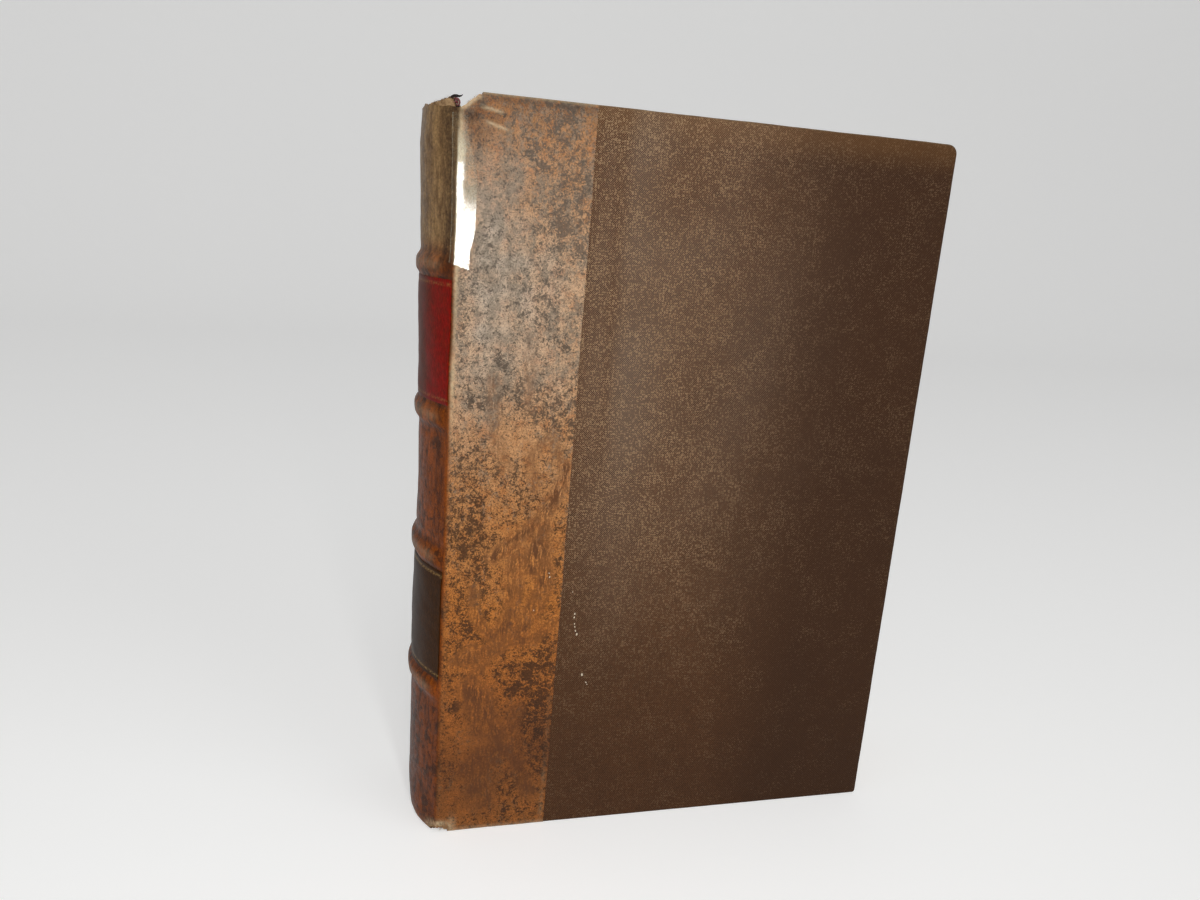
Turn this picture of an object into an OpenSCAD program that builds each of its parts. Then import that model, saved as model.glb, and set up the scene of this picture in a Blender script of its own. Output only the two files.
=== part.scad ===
// Antique book in a quarter leather binding, standing on its tail.
// +X runs from the spine to the fore-edge, +Y from the front cover to the back cover, +Z up to the head.
// The origin is the middle of the footprint. Millimetres.

/* [Covers] */
// Height of the covers
cover_h = 225; // [190:1:260]
// Width of a cover, from the joint to the fore-edge
cover_w = 151; // [120:1:180]
// Thickness of the closed book, over both covers
book_t = 44; // [34:1:60]
// Thickness of each board
board_t = 3; // [2:0.1:4]
// Radius of the worn corner at the head of the fore-edge
head_corner_r = 3; // [1:0.5:6]
// Radius of the corner at the tail of the fore-edge
tail_corner_r = 1.2; // [1:0.1:6]
// Width of the cut corner beside the joint, at the head
head_nip_w = 5.4; // [1:0.1:8]
// Height of the cut corner beside the joint, at the head
head_nip_h = 4.4; // [1:0.1:8]
// Width and height of the cut corner beside the joint, at the tail
tail_nip = 2.6; // [1:0.1:6]

/* [Skins] */
// Width of the leather strip on each cover
leather_w = 36.5; // [20:0.5:70]
// Thickness of the leather
leather_t = 0.7; // [0.5:0.05:1.2]
// Thickness of the cloth on the sides
cloth_t = 0.5; // [0.3:0.05:0.7]
// Thickness of leather and cloth where they are pared and turned in
turn_t = 0.5; // [0.3:0.05:0.8]
// How far the turn-ins reach over the inner side of a board
turn_in_w = 14; // [8:0.5:20]
// Thickness of each endpaper sheet
paper_t = 0.25; // [0.15:0.05:0.4]

/* [Pages] */
// How far the covers stand out beyond the pages at head, tail and fore-edge
square_w = 4; // [2:0.5:6]
// Depth of the hollow along the fore-edge of the pages
fore_hollow = 5; // [2:0.5:8]
// Number of sewing cords let into the back of the pages
cord_count = 5; // [3:1:7]
// Diameter of a sewing cord
cord_d = 1.8; // [1:0.1:2.4]

/* [Spine] */
// How far the spine rounds out past the joints
spine_round = 7; // [5:0.5:10]
// Thickness of the cloth lining glued to the back of the pages
lining_t = 0.5; // [0.3:0.1:1]
// Thickness of the card under the leather of the spine
card_t = 0.8; // [0.4:0.1:1.5]
// How far the raised bands stand out of the spine
band_proud = 1.2; // [0.8:0.1:2]
// Width of a raised band
band_w = 6; // [4:0.5:10]
// Height of the lowest raised band's middle above the tail
band_first = 50; // [35:0.5:60]
// Distance from one raised band to the next
band_pitch = 43.1; // [35:0.1:48]
// Diameter of the headbands
headband_d = 2.4; // [1.6:0.1:3]

/* [Labels and tape] */
// Distance from each label to the raised bands above and below it
label_margin = 0.8; // [0.3:0.1:6]
// Thickness of a label
label_t = 0.3; // [0.2:0.05:0.5]
// Thickness of the clear repair tape
tape_t = 0.15; // [0.1:0.05:0.3]
// Width of the tape that lies on the front cover
tape_w = 3.6; // [2:0.1:10]
// Length of the tape
tape_h = 41.5; // [20:0.5:60]
// Distance from the cut corner at the head down to the tape
tape_drop = 0.6; // [0.2:0.1:10]

/* [Clearances] */
// Gap between the spine and each cover at the joint
joint_gap = 0.3; // [0.2:0.05:0.6]
// Gap left for the glue between the curved layers of the spine
glue_line = 0.05; // [0.02:0.01:0.1]
// Distance from the joint to the edge of each label
label_gap = 0.8; // [0.5:0.1:3]
// Distance from the joint to the ends of the strips that make the raised bands
band_gap = 1.5; // [1:0.1:4]
// Distance from the joint to the tape on the front cover
tape_gap = 1.2; // [1:0.1:2]

/* [Hidden] */

eps = 0.01;
round_fn = 128;
mid_y = book_t / 2;
mid_x = (cover_w - spine_round - band_proud) / 2;

// Depths below the outer face of the leather
cloth_y = leather_t - cloth_t;
board_back_y = leather_t + board_t;
turn_back_y = board_back_y + turn_t;
paste_back_y = turn_back_y + paper_t;
page_y = paste_back_y + paper_t;
page_w = cover_w - square_w;
page_h = cover_h - 2 * square_w;
band_count = 4;

// The spine is an arc that starts and ends on the joints. An arc that bulges by b over the chord book_t
// has the radius (b * b + mid_y * mid_y) / (2 * b), and its centre lies that radius minus b inside.
function arc_r(bulge) = (bulge * bulge + mid_y * mid_y) / (2 * bulge);
function arc_x(bulge) = arc_r(bulge) - bulge;
spine_r = arc_r(spine_round);
spine_x = arc_x(spine_round);
card_r = spine_r - leather_t;
lining_r = card_r - card_t;
page_r = lining_r - lining_t;
band_bulge = spine_round + band_proud;
band_r = arc_r(band_bulge);
band_x = arc_x(band_bulge);
band_rim = 1.5;
strip_rim = 0.8;

// The torn head of the spine: [share of the thickness from the front joint, distance below the head]
leather_tear = [[0, 4.5], [0.08, 4.2], [0.2, 3.7], [0.34, 3.1],
                [0.5, 3.4], [0.66, 2.9], [0.82, 3.3], [1, 2.8]];
card_tear = [[0, 4.6], [0.1, 4.3], [0.13, 2.6], [0.3, 2.1],
             [0.45, 2.5], [0.62, 2], [0.8, 2.4], [1, 2.2]];
// The worn spot at the tail of the spine, beside the front joint
worn_r = 3;
worn_x = -0.6;
worn_z = -0.8;

cover_colour = [0.68, 0.43, 0.22];
spine_colour = [0.47, 0.30, 0.17];
cloth_colour = [0.26, 0.17, 0.10];
board_colour = [0.55, 0.48, 0.38];
page_colour = [0.80, 0.72, 0.56];
endpaper_colour = [0.84, 0.78, 0.64];

// Moves a shape from the joint's frame to the middle of the footprint
module placed() {
    translate([-mid_x, -mid_y, 0]) children();
}

// The same shape on the back cover
module mirrored_back() {
    translate([0, book_t, 0]) mirror([0, 1, 0]) children();
}

// A flat outline in X and Z, given a thickness from y0 to y1
module slab(y0, y1) {
    translate([0, y1, 0]) rotate([90, 0, 0]) linear_extrude(y1 - y0) children();
}

// The outline of a cover, drawn in by inset at head, tail and fore-edge
module cover_outline(inset) {
    left = joint_gap;
    right = cover_w - inset;
    low = inset;
    high = cover_h - inset;
    head_r = head_corner_r - inset;
    tail_r = tail_corner_r - inset;
    polygon([
        [left, low + tail_nip],
        [left + tail_nip, low],
        [right - tail_r, low],
        [right - tail_r, low + tail_r],
        [right, low + tail_r],
        [right, high - head_r],
        [right - head_r, high - head_r],
        [right - head_r, high],
        [left + head_nip_w, high],
        [left, high - head_nip_h]
    ]);
    translate([right - head_r, high - head_r]) circle(r = head_r, $fn = 48);
    translate([right - tail_r, low + tail_r]) circle(r = tail_r, $fn = 32);
}

// A rectangle in X and Z
module field(x0, x1, z0, z1) {
    translate([x0, z0]) square([x1 - x0, z1 - z0]);
}

// The inner side of a board, inside its turn-ins
module paste_field() {
    field(joint_gap, cover_w - turn_in_w, turn_in_w, cover_h - turn_in_w);
}

module cover_board() {
    slab(leather_t, board_back_y) cover_outline(turn_t);
}

// A skin folded round a board, between x0 and x1, with its outer face at face_y
module cover_skin(face_y, x0, x1) {
    difference() {
        slab(face_y, turn_back_y) intersection() {
            cover_outline(0);
            field(x0, x1, 0, cover_h);
        }
        cover_board();
        slab(board_back_y - eps, turn_back_y + eps) paste_field();
    }
}

// An endpaper pasted over the turn-ins and bedded down between them
module pastedown() {
    slab(turn_back_y, paste_back_y) field(joint_gap, page_w, square_w, cover_h - square_w);
    slab(board_back_y, turn_back_y) paste_field();
}

// A free endpaper lying on the pages
module flyleaf() {
    slab(paste_back_y, page_y) field(0, page_w, square_w, cover_h - square_w);
}

// Everything on the spine's side of the joints
module spine_side(gap = 0) {
    translate([-book_t - gap, -mid_y, -cover_h / 2]) cube([book_t, 2 * book_t, 2 * cover_h]);
}

// A round bar about the axis of the spine's arc
module spine_bar(r, z0, z1) {
    translate([spine_x, mid_y, z0]) cylinder(r = r, h = z1 - z0, $fn = round_fn);
}

// A curved layer of the spine between two radii
module spine_layer(inner, outer, z0, z1, gap = 0) {
    difference() {
        intersection() {
            spine_bar(outer, z0, z1);
            spine_side(gap);
        }
        spine_bar(inner + glue_line, z0 - eps, z1 + eps);
    }
}

// A disc with a rounded rim about the axis of the bands' arc, bottom face at z0
module band_disc(r, w, rim, z0) {
    translate([band_x, mid_y, z0]) rotate_extrude($fn = round_fn) {
        square([r - rim, w]);
        translate([0, rim]) square([r, w - 2 * rim]);
        translate([r - rim, rim]) circle(r = rim, $fn = 32);
        translate([r - rim, w - rim]) circle(r = rim, $fn = 32);
    }
}

// Height of the middle of band n, counted from the tail
function band_z(n) = band_first + n * band_pitch;

// The space for a band's strip under the leather, drawn in by gap
module band_strip_disc(n, gap = 0) {
    strip_w = band_w - 2 * leather_t - 2 * gap;
    band_disc(band_r - leather_t - gap, strip_w, strip_rim, band_z(n) - strip_w / 2);
}

// The strip that makes one raised band, counted from the tail
module raised_band(n) {
    color(board_colour) placed() difference() {
        intersection() {
            band_strip_disc(n, glue_line);
            spine_side(band_gap + glue_line);
        }
        spine_bar(card_r + glue_line, 0, cover_h);
    }
}

// What lies under a torn edge, across the whole spine
module under_tear(tear) {
    edge = [for (p = tear) [p[0] * book_t, cover_h - p[1]]];
    rotate([90, 0, 90]) translate([0, 0, -book_t]) linear_extrude(2 * book_t)
        polygon(concat([[-mid_y, 0], [-mid_y, edge[0][1]]], edge,
            [[book_t + mid_y, edge[len(edge) - 1][1]], [book_t + mid_y, 0]]));
}

// A section swept round the back of the pages, once for each sewing cord
module at_each_cord() {
    for (n = [0 : cord_count - 1])
        intersection() {
            translate([spine_x, mid_y, square_w + page_h * (n + 0.5) / cord_count])
                rotate_extrude($fn = round_fn) children();
            spine_side();
        }
}

// The sewn pages as one solid: rounded at the spine, hollow at the fore-edge
module text_block() {
    page_t = book_t - 2 * page_y;
    hollow_r = (fore_hollow * fore_hollow + page_t * page_t / 4) / (2 * fore_hollow);
    color(page_colour) placed() difference() {
        union() {
            intersection() {
                spine_bar(page_r, square_w, cover_h - square_w);
                spine_side();
            }
            translate([-eps, page_y, square_w]) cube([page_w + eps, page_t, page_h]);
        }
        translate([page_w - fore_hollow + hollow_r, mid_y, 0])
            cylinder(r = hollow_r, h = cover_h, $fn = round_fn);
        at_each_cord() translate([page_r - cord_d, -cord_d / 2]) square([2 * cord_d, cord_d]);
    }
}

// Cords bent round the back of the pages, each in its own sawn channel
module sewing_cords() {
    color("tan") placed() at_each_cord()
        translate([page_r - cord_d / 2, 0]) circle(d = cord_d - 2 * glue_line, $fn = 32);
}

module spine_lining() {
    color("wheat") placed() spine_layer(page_r, lining_r, square_w, cover_h - square_w);
}

// The card that stiffens the spine, torn at the head with the leather
module spine_card() {
    color(board_colour) placed() intersection() {
        spine_layer(lining_r, card_r, turn_t, cover_h);
        under_tear(card_tear);
    }
}

// The leather over the spine and its bands, torn at the head and worn through at the tail
module spine_leather() {
    color(spine_colour) placed() difference() {
        intersection() {
            union() {
                spine_bar(spine_r, 0, cover_h);
                for (n = [0 : band_count - 1])
                    band_disc(band_r, band_w, band_rim, band_z(n) - band_w / 2);
            }
            spine_side();
            under_tear(leather_tear);
        }
        spine_bar(card_r + glue_line, -eps, cover_h + eps);
        for (n = [0 : band_count - 1])
            intersection() {
                band_strip_disc(n);
                spine_side(band_gap);
            }
        translate([worn_x, 0, worn_z]) sphere(r = worn_r, $fn = 48);
    }
}

// A label pasted on the spine above band n, counted from the tail
module spine_label(n) {
    clear = band_w / 2 + label_margin;
    placed() spine_layer(spine_r, spine_r + label_t, band_z(n) + clear, band_z(n + 1) - clear, label_gap);
}

module title_label() {
    color([0.45, 0.07, 0.08]) spine_label(2);
}

module volume_label() {
    color([0.12, 0.12, 0.08]) spine_label(0);
}

// A silk headband, flat where it sits on the pages, with its foot at z
module headband(z) {
    r = headband_d / 2;
    placed() translate([spine_x, mid_y, z]) intersection() {
        rotate_extrude($fn = round_fn) translate([lining_r - r, 0]) {
            translate([-r, 0]) square([headband_d, r]);
            translate([0, r]) circle(r = r, $fn = 32);
        }
        translate([-spine_x, -mid_y, 0]) spine_side();
    }
}

module head_band() {
    color([0.55, 0.12, 0.12]) headband(cover_h - square_w);
}

module tail_band() {
    color([0.55, 0.12, 0.12]) translate([0, 0, square_w]) mirror([0, 0, 1]) headband(0);
}

module front_flyleaf() {
    color(endpaper_colour) placed() flyleaf();
}

module back_flyleaf() {
    color(endpaper_colour) placed() mirrored_back() flyleaf();
}

module front_board() {
    color(board_colour) placed() cover_board();
}

module back_board() {
    color(board_colour) placed() mirrored_back() cover_board();
}

module front_leather() {
    color(cover_colour) placed() cover_skin(0, 0, leather_w);
}

module back_leather() {
    color(cover_colour) placed() mirrored_back() cover_skin(0, 0, leather_w);
}

module front_cloth() {
    color(cloth_colour) placed() cover_skin(cloth_y, leather_w, cover_w);
}

module back_cloth() {
    color(cloth_colour) placed() mirrored_back() cover_skin(cloth_y, leather_w, cover_w);
}

module front_pastedown() {
    color(endpaper_colour) placed() pastedown();
}

module back_pastedown() {
    color(endpaper_colour) placed() mirrored_back() pastedown();
}

// The clear tape that holds the torn front joint, where it lies on the cover
module repair_tape() {
    top = cover_h - head_nip_h - tape_drop;
    left = joint_gap + tape_gap;
    color("lightyellow") placed() slab(-tape_t, 0) field(left, left + tape_w, top - tape_h, top);
}

text_block();
sewing_cords();
spine_lining();
spine_card();
raised_band(0);  // raised_band_1
raised_band(1);  // raised_band_2
raised_band(2);  // raised_band_3
raised_band(3);  // raised_band_4
spine_leather();
title_label();
volume_label();
head_band();
tail_band();
front_flyleaf();
back_flyleaf();
front_board();
front_leather();
front_cloth();
front_pastedown();
repair_tape();
back_board();
back_leather();
back_cloth();
back_pastedown();
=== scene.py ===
"""An antique book in a quarter leather binding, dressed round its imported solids.

Lengths are millimetres in the book's own frame: X starts at the front joint and runs to the fore-edge, Y
starts on the front leather and runs through the book, and Z starts at the tail. Measures.place turns them
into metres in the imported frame.
"""
import logging
import math
from dataclasses import dataclass
from enum import Enum
from typing import Optional, Sequence, Union

import bmesh
import bpy
import numpy as np
from mathutils import Matrix, Vector


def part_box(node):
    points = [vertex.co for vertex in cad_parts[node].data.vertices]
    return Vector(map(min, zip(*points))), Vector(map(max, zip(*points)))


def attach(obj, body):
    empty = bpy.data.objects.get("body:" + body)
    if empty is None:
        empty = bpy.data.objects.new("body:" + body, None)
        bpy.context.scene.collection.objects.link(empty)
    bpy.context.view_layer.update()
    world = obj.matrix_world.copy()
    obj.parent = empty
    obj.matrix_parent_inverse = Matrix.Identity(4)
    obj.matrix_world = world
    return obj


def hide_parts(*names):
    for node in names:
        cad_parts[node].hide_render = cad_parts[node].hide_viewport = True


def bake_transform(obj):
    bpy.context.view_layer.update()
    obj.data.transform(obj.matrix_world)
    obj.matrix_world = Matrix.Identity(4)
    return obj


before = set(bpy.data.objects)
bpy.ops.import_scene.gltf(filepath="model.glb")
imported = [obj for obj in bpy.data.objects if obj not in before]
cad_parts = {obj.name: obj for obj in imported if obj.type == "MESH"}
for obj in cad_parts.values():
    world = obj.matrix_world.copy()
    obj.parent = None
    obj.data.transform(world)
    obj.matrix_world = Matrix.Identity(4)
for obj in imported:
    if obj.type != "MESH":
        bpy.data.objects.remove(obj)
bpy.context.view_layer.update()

LOG = logging.getLogger("book")
MM = 0.001


@dataclass(frozen=True)
class Measures:
    """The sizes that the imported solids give, in the book's own frame."""

    origin: Vector
    cover_h: float
    cover_w: float
    book_t: float
    strip_w: float
    cloth_y: float
    joint_gap: float
    turn_back: float
    paste_back: float
    page_back: float
    page_w: float
    square: float
    hinge_z: float

    @classmethod
    def from_frame(cls) -> "Measures":
        """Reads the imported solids' corners.

        Returns:
            The book's measures.
        """
        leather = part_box("front_leather")
        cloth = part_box("front_cloth")
        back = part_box("back_leather")
        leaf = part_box("front_flyleaf")
        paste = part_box("front_pastedown")
        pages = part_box("text_block")
        origin = Vector((leaf[0].x, leather[0].y, 0.0))
        return cls(
            origin=origin,
            cover_h=leather[1].z / MM,
            cover_w=(cloth[1].x - origin.x) / MM,
            book_t=(back[1].y - origin.y) / MM,
            strip_w=(leather[1].x - origin.x) / MM,
            cloth_y=(cloth[0].y - origin.y) / MM,
            joint_gap=(leather[0].x - origin.x) / MM,
            turn_back=(leather[1].y - origin.y) / MM,
            paste_back=(paste[1].y - origin.y) / MM,
            page_back=(leaf[1].y - origin.y) / MM,
            page_w=(pages[1].x - origin.x) / MM,
            square=pages[0].z / MM,
            hinge_z=leather[1].z / MM / 2,
        )

    def place(self, points: np.ndarray) -> np.ndarray:
        """Turns points in millimetres in the book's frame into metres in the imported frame.

        Args:
            points: An array whose last axis is X, Y, Z.

        Returns:
            The placed points, in the same shape.
        """
        return np.asarray(points, float) * MM + np.array(self.origin)

    def at(self, x: float, y: float, z: float) -> Vector:
        """One point of the book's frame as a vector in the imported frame."""
        return Vector(self.place(np.array([x, y, z])))


def smoothstep(low: float, high: float, value: np.ndarray) -> np.ndarray:
    """A smooth rise from 0 at low to 1 at high."""
    t = np.clip((np.asarray(value, float) - low) / (high - low), 0, 1)
    return t * t * (3 - 2 * t)


def wander(values: np.ndarray, wavelength: float, seed: int, octaves: int = 3) -> np.ndarray:
    """A smooth random line along values, made of seeded sine waves.

    Args:
        values: Positions along the line.
        wavelength: Length of the longest wave, in the units of values.
        seed: Picks the waves' phases.
        octaves: Number of waves, each about half as long as the one before.

    Returns:
        Heights of about -1 to 1.
    """
    draw = np.random.default_rng(seed)
    total = np.zeros_like(np.asarray(values, float))
    for k in range(octaves):
        stretch = 2.1 ** k * (0.85 + 0.3 * draw.random())
        total += np.sin(2 * math.pi * (values * stretch / wavelength + draw.random())) / 1.7 ** k
    return total / 1.6


def ripple(u: np.ndarray, v: np.ndarray, wavelength: float, seed: int, waves: int = 14) -> np.ndarray:
    """A smooth random surface made of seeded plane waves.

    Args:
        u: First coordinate of each point.
        v: Second coordinate of each point.
        wavelength: The waves' usual length.
        seed: Picks the waves.
        waves: Number of waves.

    Returns:
        Heights of about -1 to 1.
    """
    draw = np.random.default_rng(seed)
    total = np.zeros_like(np.asarray(u, float))
    for _ in range(waves):
        turn = 2 * math.pi * draw.random()
        length = wavelength * (0.6 + 0.9 * draw.random())
        along = (u * math.cos(turn) + v * math.sin(turn)) / length
        total += np.sin(2 * math.pi * (along + draw.random()))
    return total / math.sqrt(waves)


def to_segment(x: np.ndarray, z: np.ndarray, a: Sequence[float], b: Sequence[float]) -> np.ndarray:
    """Distance from each point to the straight line between a and b.

    Args:
        x: Distance from the joint, in millimetres.
        z: Height, in millimetres.
        a: The line's first end.
        b: Its other end.

    Returns:
        The distance, in millimetres.
    """
    ax, az = a
    dx, dz = b[0] - ax, b[1] - az
    t = np.clip(((x - ax) * dx + (z - az) * dz) / (dx * dx + dz * dz), 0, 1)
    return np.hypot(x - ax - t * dx, z - az - t * dz)


def to_line(x: np.ndarray, z: np.ndarray, points: Sequence[Sequence[float]]) -> np.ndarray:
    """Distance from each point to a line through several points."""
    return np.min([to_segment(x, z, a, b) for a, b in zip(points, points[1:])], axis=0)


def blot(x: np.ndarray, z: np.ndarray, cx: float, cz: float, rx: float, rz: float) -> np.ndarray:
    """A soft oval spot, 1 in its middle."""
    return np.exp(-(((x - cx) / rx) ** 2 + ((z - cz) / rz) ** 2))


def bell(value: np.ndarray, middle: float | np.ndarray, width: float, power: int = 2) -> np.ndarray:
    """A smooth hump over values, 1 at the middle, with a flatter top for a higher even power."""
    return np.exp(-((value - middle) / width) ** power)


def blots(base: np.ndarray, x: np.ndarray, z: np.ndarray, spots: Sequence[Sequence[float]]) -> np.ndarray:
    """Adds soft oval spots to a pattern, each given by its middle, its two radii and its amount.

    Args:
        base: The pattern so far.
        x: Distance from the joint, in millimetres.
        z: Height, in millimetres.
        spots: Middle, radii and amount of each spot.

    Returns:
        The pattern with its spots.
    """
    for cx, cz, rx, rz, much in spots:
        base = base + much * blot(x, z, cx, cz, rx, rz)
    return base


class Skin:
    """A closed shell with a rim, made from a grid of points on its outer side."""

    def __init__(self, points: np.ndarray, thickness: float, cells: Optional[np.ndarray] = None,
                 facing: Optional[np.ndarray] = None) -> None:
        """Takes the outer side.

        Args:
            points: Grid of points, in millimetres. Rows cross columns so that the outer side faces outwards.
            thickness: Thickness of the shell, in millimetres.
            cells: True for each square of the grid that exists.
            facing: Outward direction at each point, worked out from the grid if left out.
        """
        self.points = np.asarray(points, float)
        self.thickness = thickness
        self.facing = facing
        rows, columns = self.points.shape[:2]
        self.cells = np.ones((rows - 1, columns - 1), bool) if cells is None else cells
        self.paint: dict[str, np.ndarray] = {}

    def normals(self) -> np.ndarray:
        """Unit normals of the outer side at each point of the grid.

        Returns:
            The normals, in the grid's own order.
        """
        if self.facing is not None:
            return self.facing
        across = np.gradient(self.points, axis=0)
        along = np.gradient(self.points, axis=1)
        normal = np.cross(across, along)
        return normal / np.maximum(np.linalg.norm(normal, axis=2, keepdims=True), 1e-9)

    def build(self, name: str, book: Measures, sharp: float = 40) -> bpy.types.Object:
        """Makes the mesh object.

        Args:
            name: The object's name.
            book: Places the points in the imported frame.
            sharp: Edges that turn by more than this many degrees stay sharp.

        Returns:
            The new object.
        """
        rows, columns = self.points.shape[:2]
        count = rows * columns
        index = np.arange(count).reshape(rows, columns)
        inner = self.points - self.normals() * self.thickness
        on = np.zeros((rows + 1, columns + 1), bool)
        on[1:-1, 1:-1] = self.cells
        i, j = np.nonzero(self.cells)
        top = np.stack([index[i, j], index[i + 1, j], index[i + 1, j + 1], index[i, j + 1]], 1)
        quads = [top, top[:, ::-1] + count]
        rims = (
            (~on[i + 1, j], index[i, j], index[i + 1, j]),
            (~on[i + 2, j + 1], index[i + 1, j], index[i + 1, j + 1]),
            (~on[i + 1, j + 2], index[i + 1, j + 1], index[i, j + 1]),
            (~on[i, j + 1], index[i, j + 1], index[i, j]),
        )
        for open_side, a, b in rims:
            a, b = a[open_side], b[open_side]
            quads.append(np.stack([b, a, a + count, b + count], 1))
        faces = np.concatenate(quads)
        used, faces = np.unique(faces, return_inverse=True)
        faces = faces.reshape(-1, 4)
        places = book.place(np.concatenate([self.points.reshape(-1, 3), inner.reshape(-1, 3)])[used])
        paint = {key: np.tile(np.broadcast_to(value, (rows, columns)).reshape(-1), 2)[used]
                 for key, value in self.paint.items()}
        return mesh_object(name, places, faces, paint, sharp)


def mesh_object(name: str, places: np.ndarray, faces: Sequence[Sequence[int]],
                paint: Optional[dict[str, np.ndarray]] = None, sharp: float = 40) -> bpy.types.Object:
    """Makes a smooth-shaded mesh object at the origin.

    Args:
        name: The object's name.
        places: Its points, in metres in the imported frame.
        faces: Corner numbers of each face.
        paint: Values for each point, by attribute name.
        sharp: Edges that turn by more than this many degrees stay sharp.

    Returns:
        The new object.
    """
    mesh = bpy.data.meshes.new(name)
    mesh.from_pydata(np.asarray(places).tolist(), [], [tuple(int(k) for k in f) for f in faces])
    for key, values in (paint or {}).items():
        layer = mesh.attributes.new(key, "FLOAT", "POINT")
        layer.data.foreach_set("value", np.asarray(values, np.float32))
    mesh.shade_smooth()
    mesh.set_sharp_from_angle(angle=math.radians(sharp))
    made = bpy.data.objects.new(name, mesh)
    bpy.context.scene.collection.objects.link(made)
    return made


def closed_object(name: str, places: np.ndarray, faces: Sequence[Sequence[int]]) -> bpy.types.Object:
    """Makes a mesh object of a closed form, with every face turned outwards.

    Args:
        name: The object's name.
        places: Its points.
        faces: Corner numbers of each face.

    Returns:
        The new object.
    """
    made = mesh_object(name, places, faces)
    shape = bmesh.new()
    shape.from_mesh(made.data)
    bmesh.ops.recalc_face_normals(shape, faces=shape.faces)
    shape.to_mesh(made.data)
    shape.free()
    return made


def ring_faces(rings: int, sides: int) -> list[tuple[int, ...]]:
    """The faces between rings of points that follow each other.

    Args:
        rings: The number of rings.
        sides: Points in each ring.

    Returns:
        Corner numbers of each face.
    """
    faces = []
    for k in range(rings - 1):
        for s in range(sides):
            a, b = k * sides + s, k * sides + (s + 1) % sides
            faces.append((a, b, b + sides, a + sides))
    return faces


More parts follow.
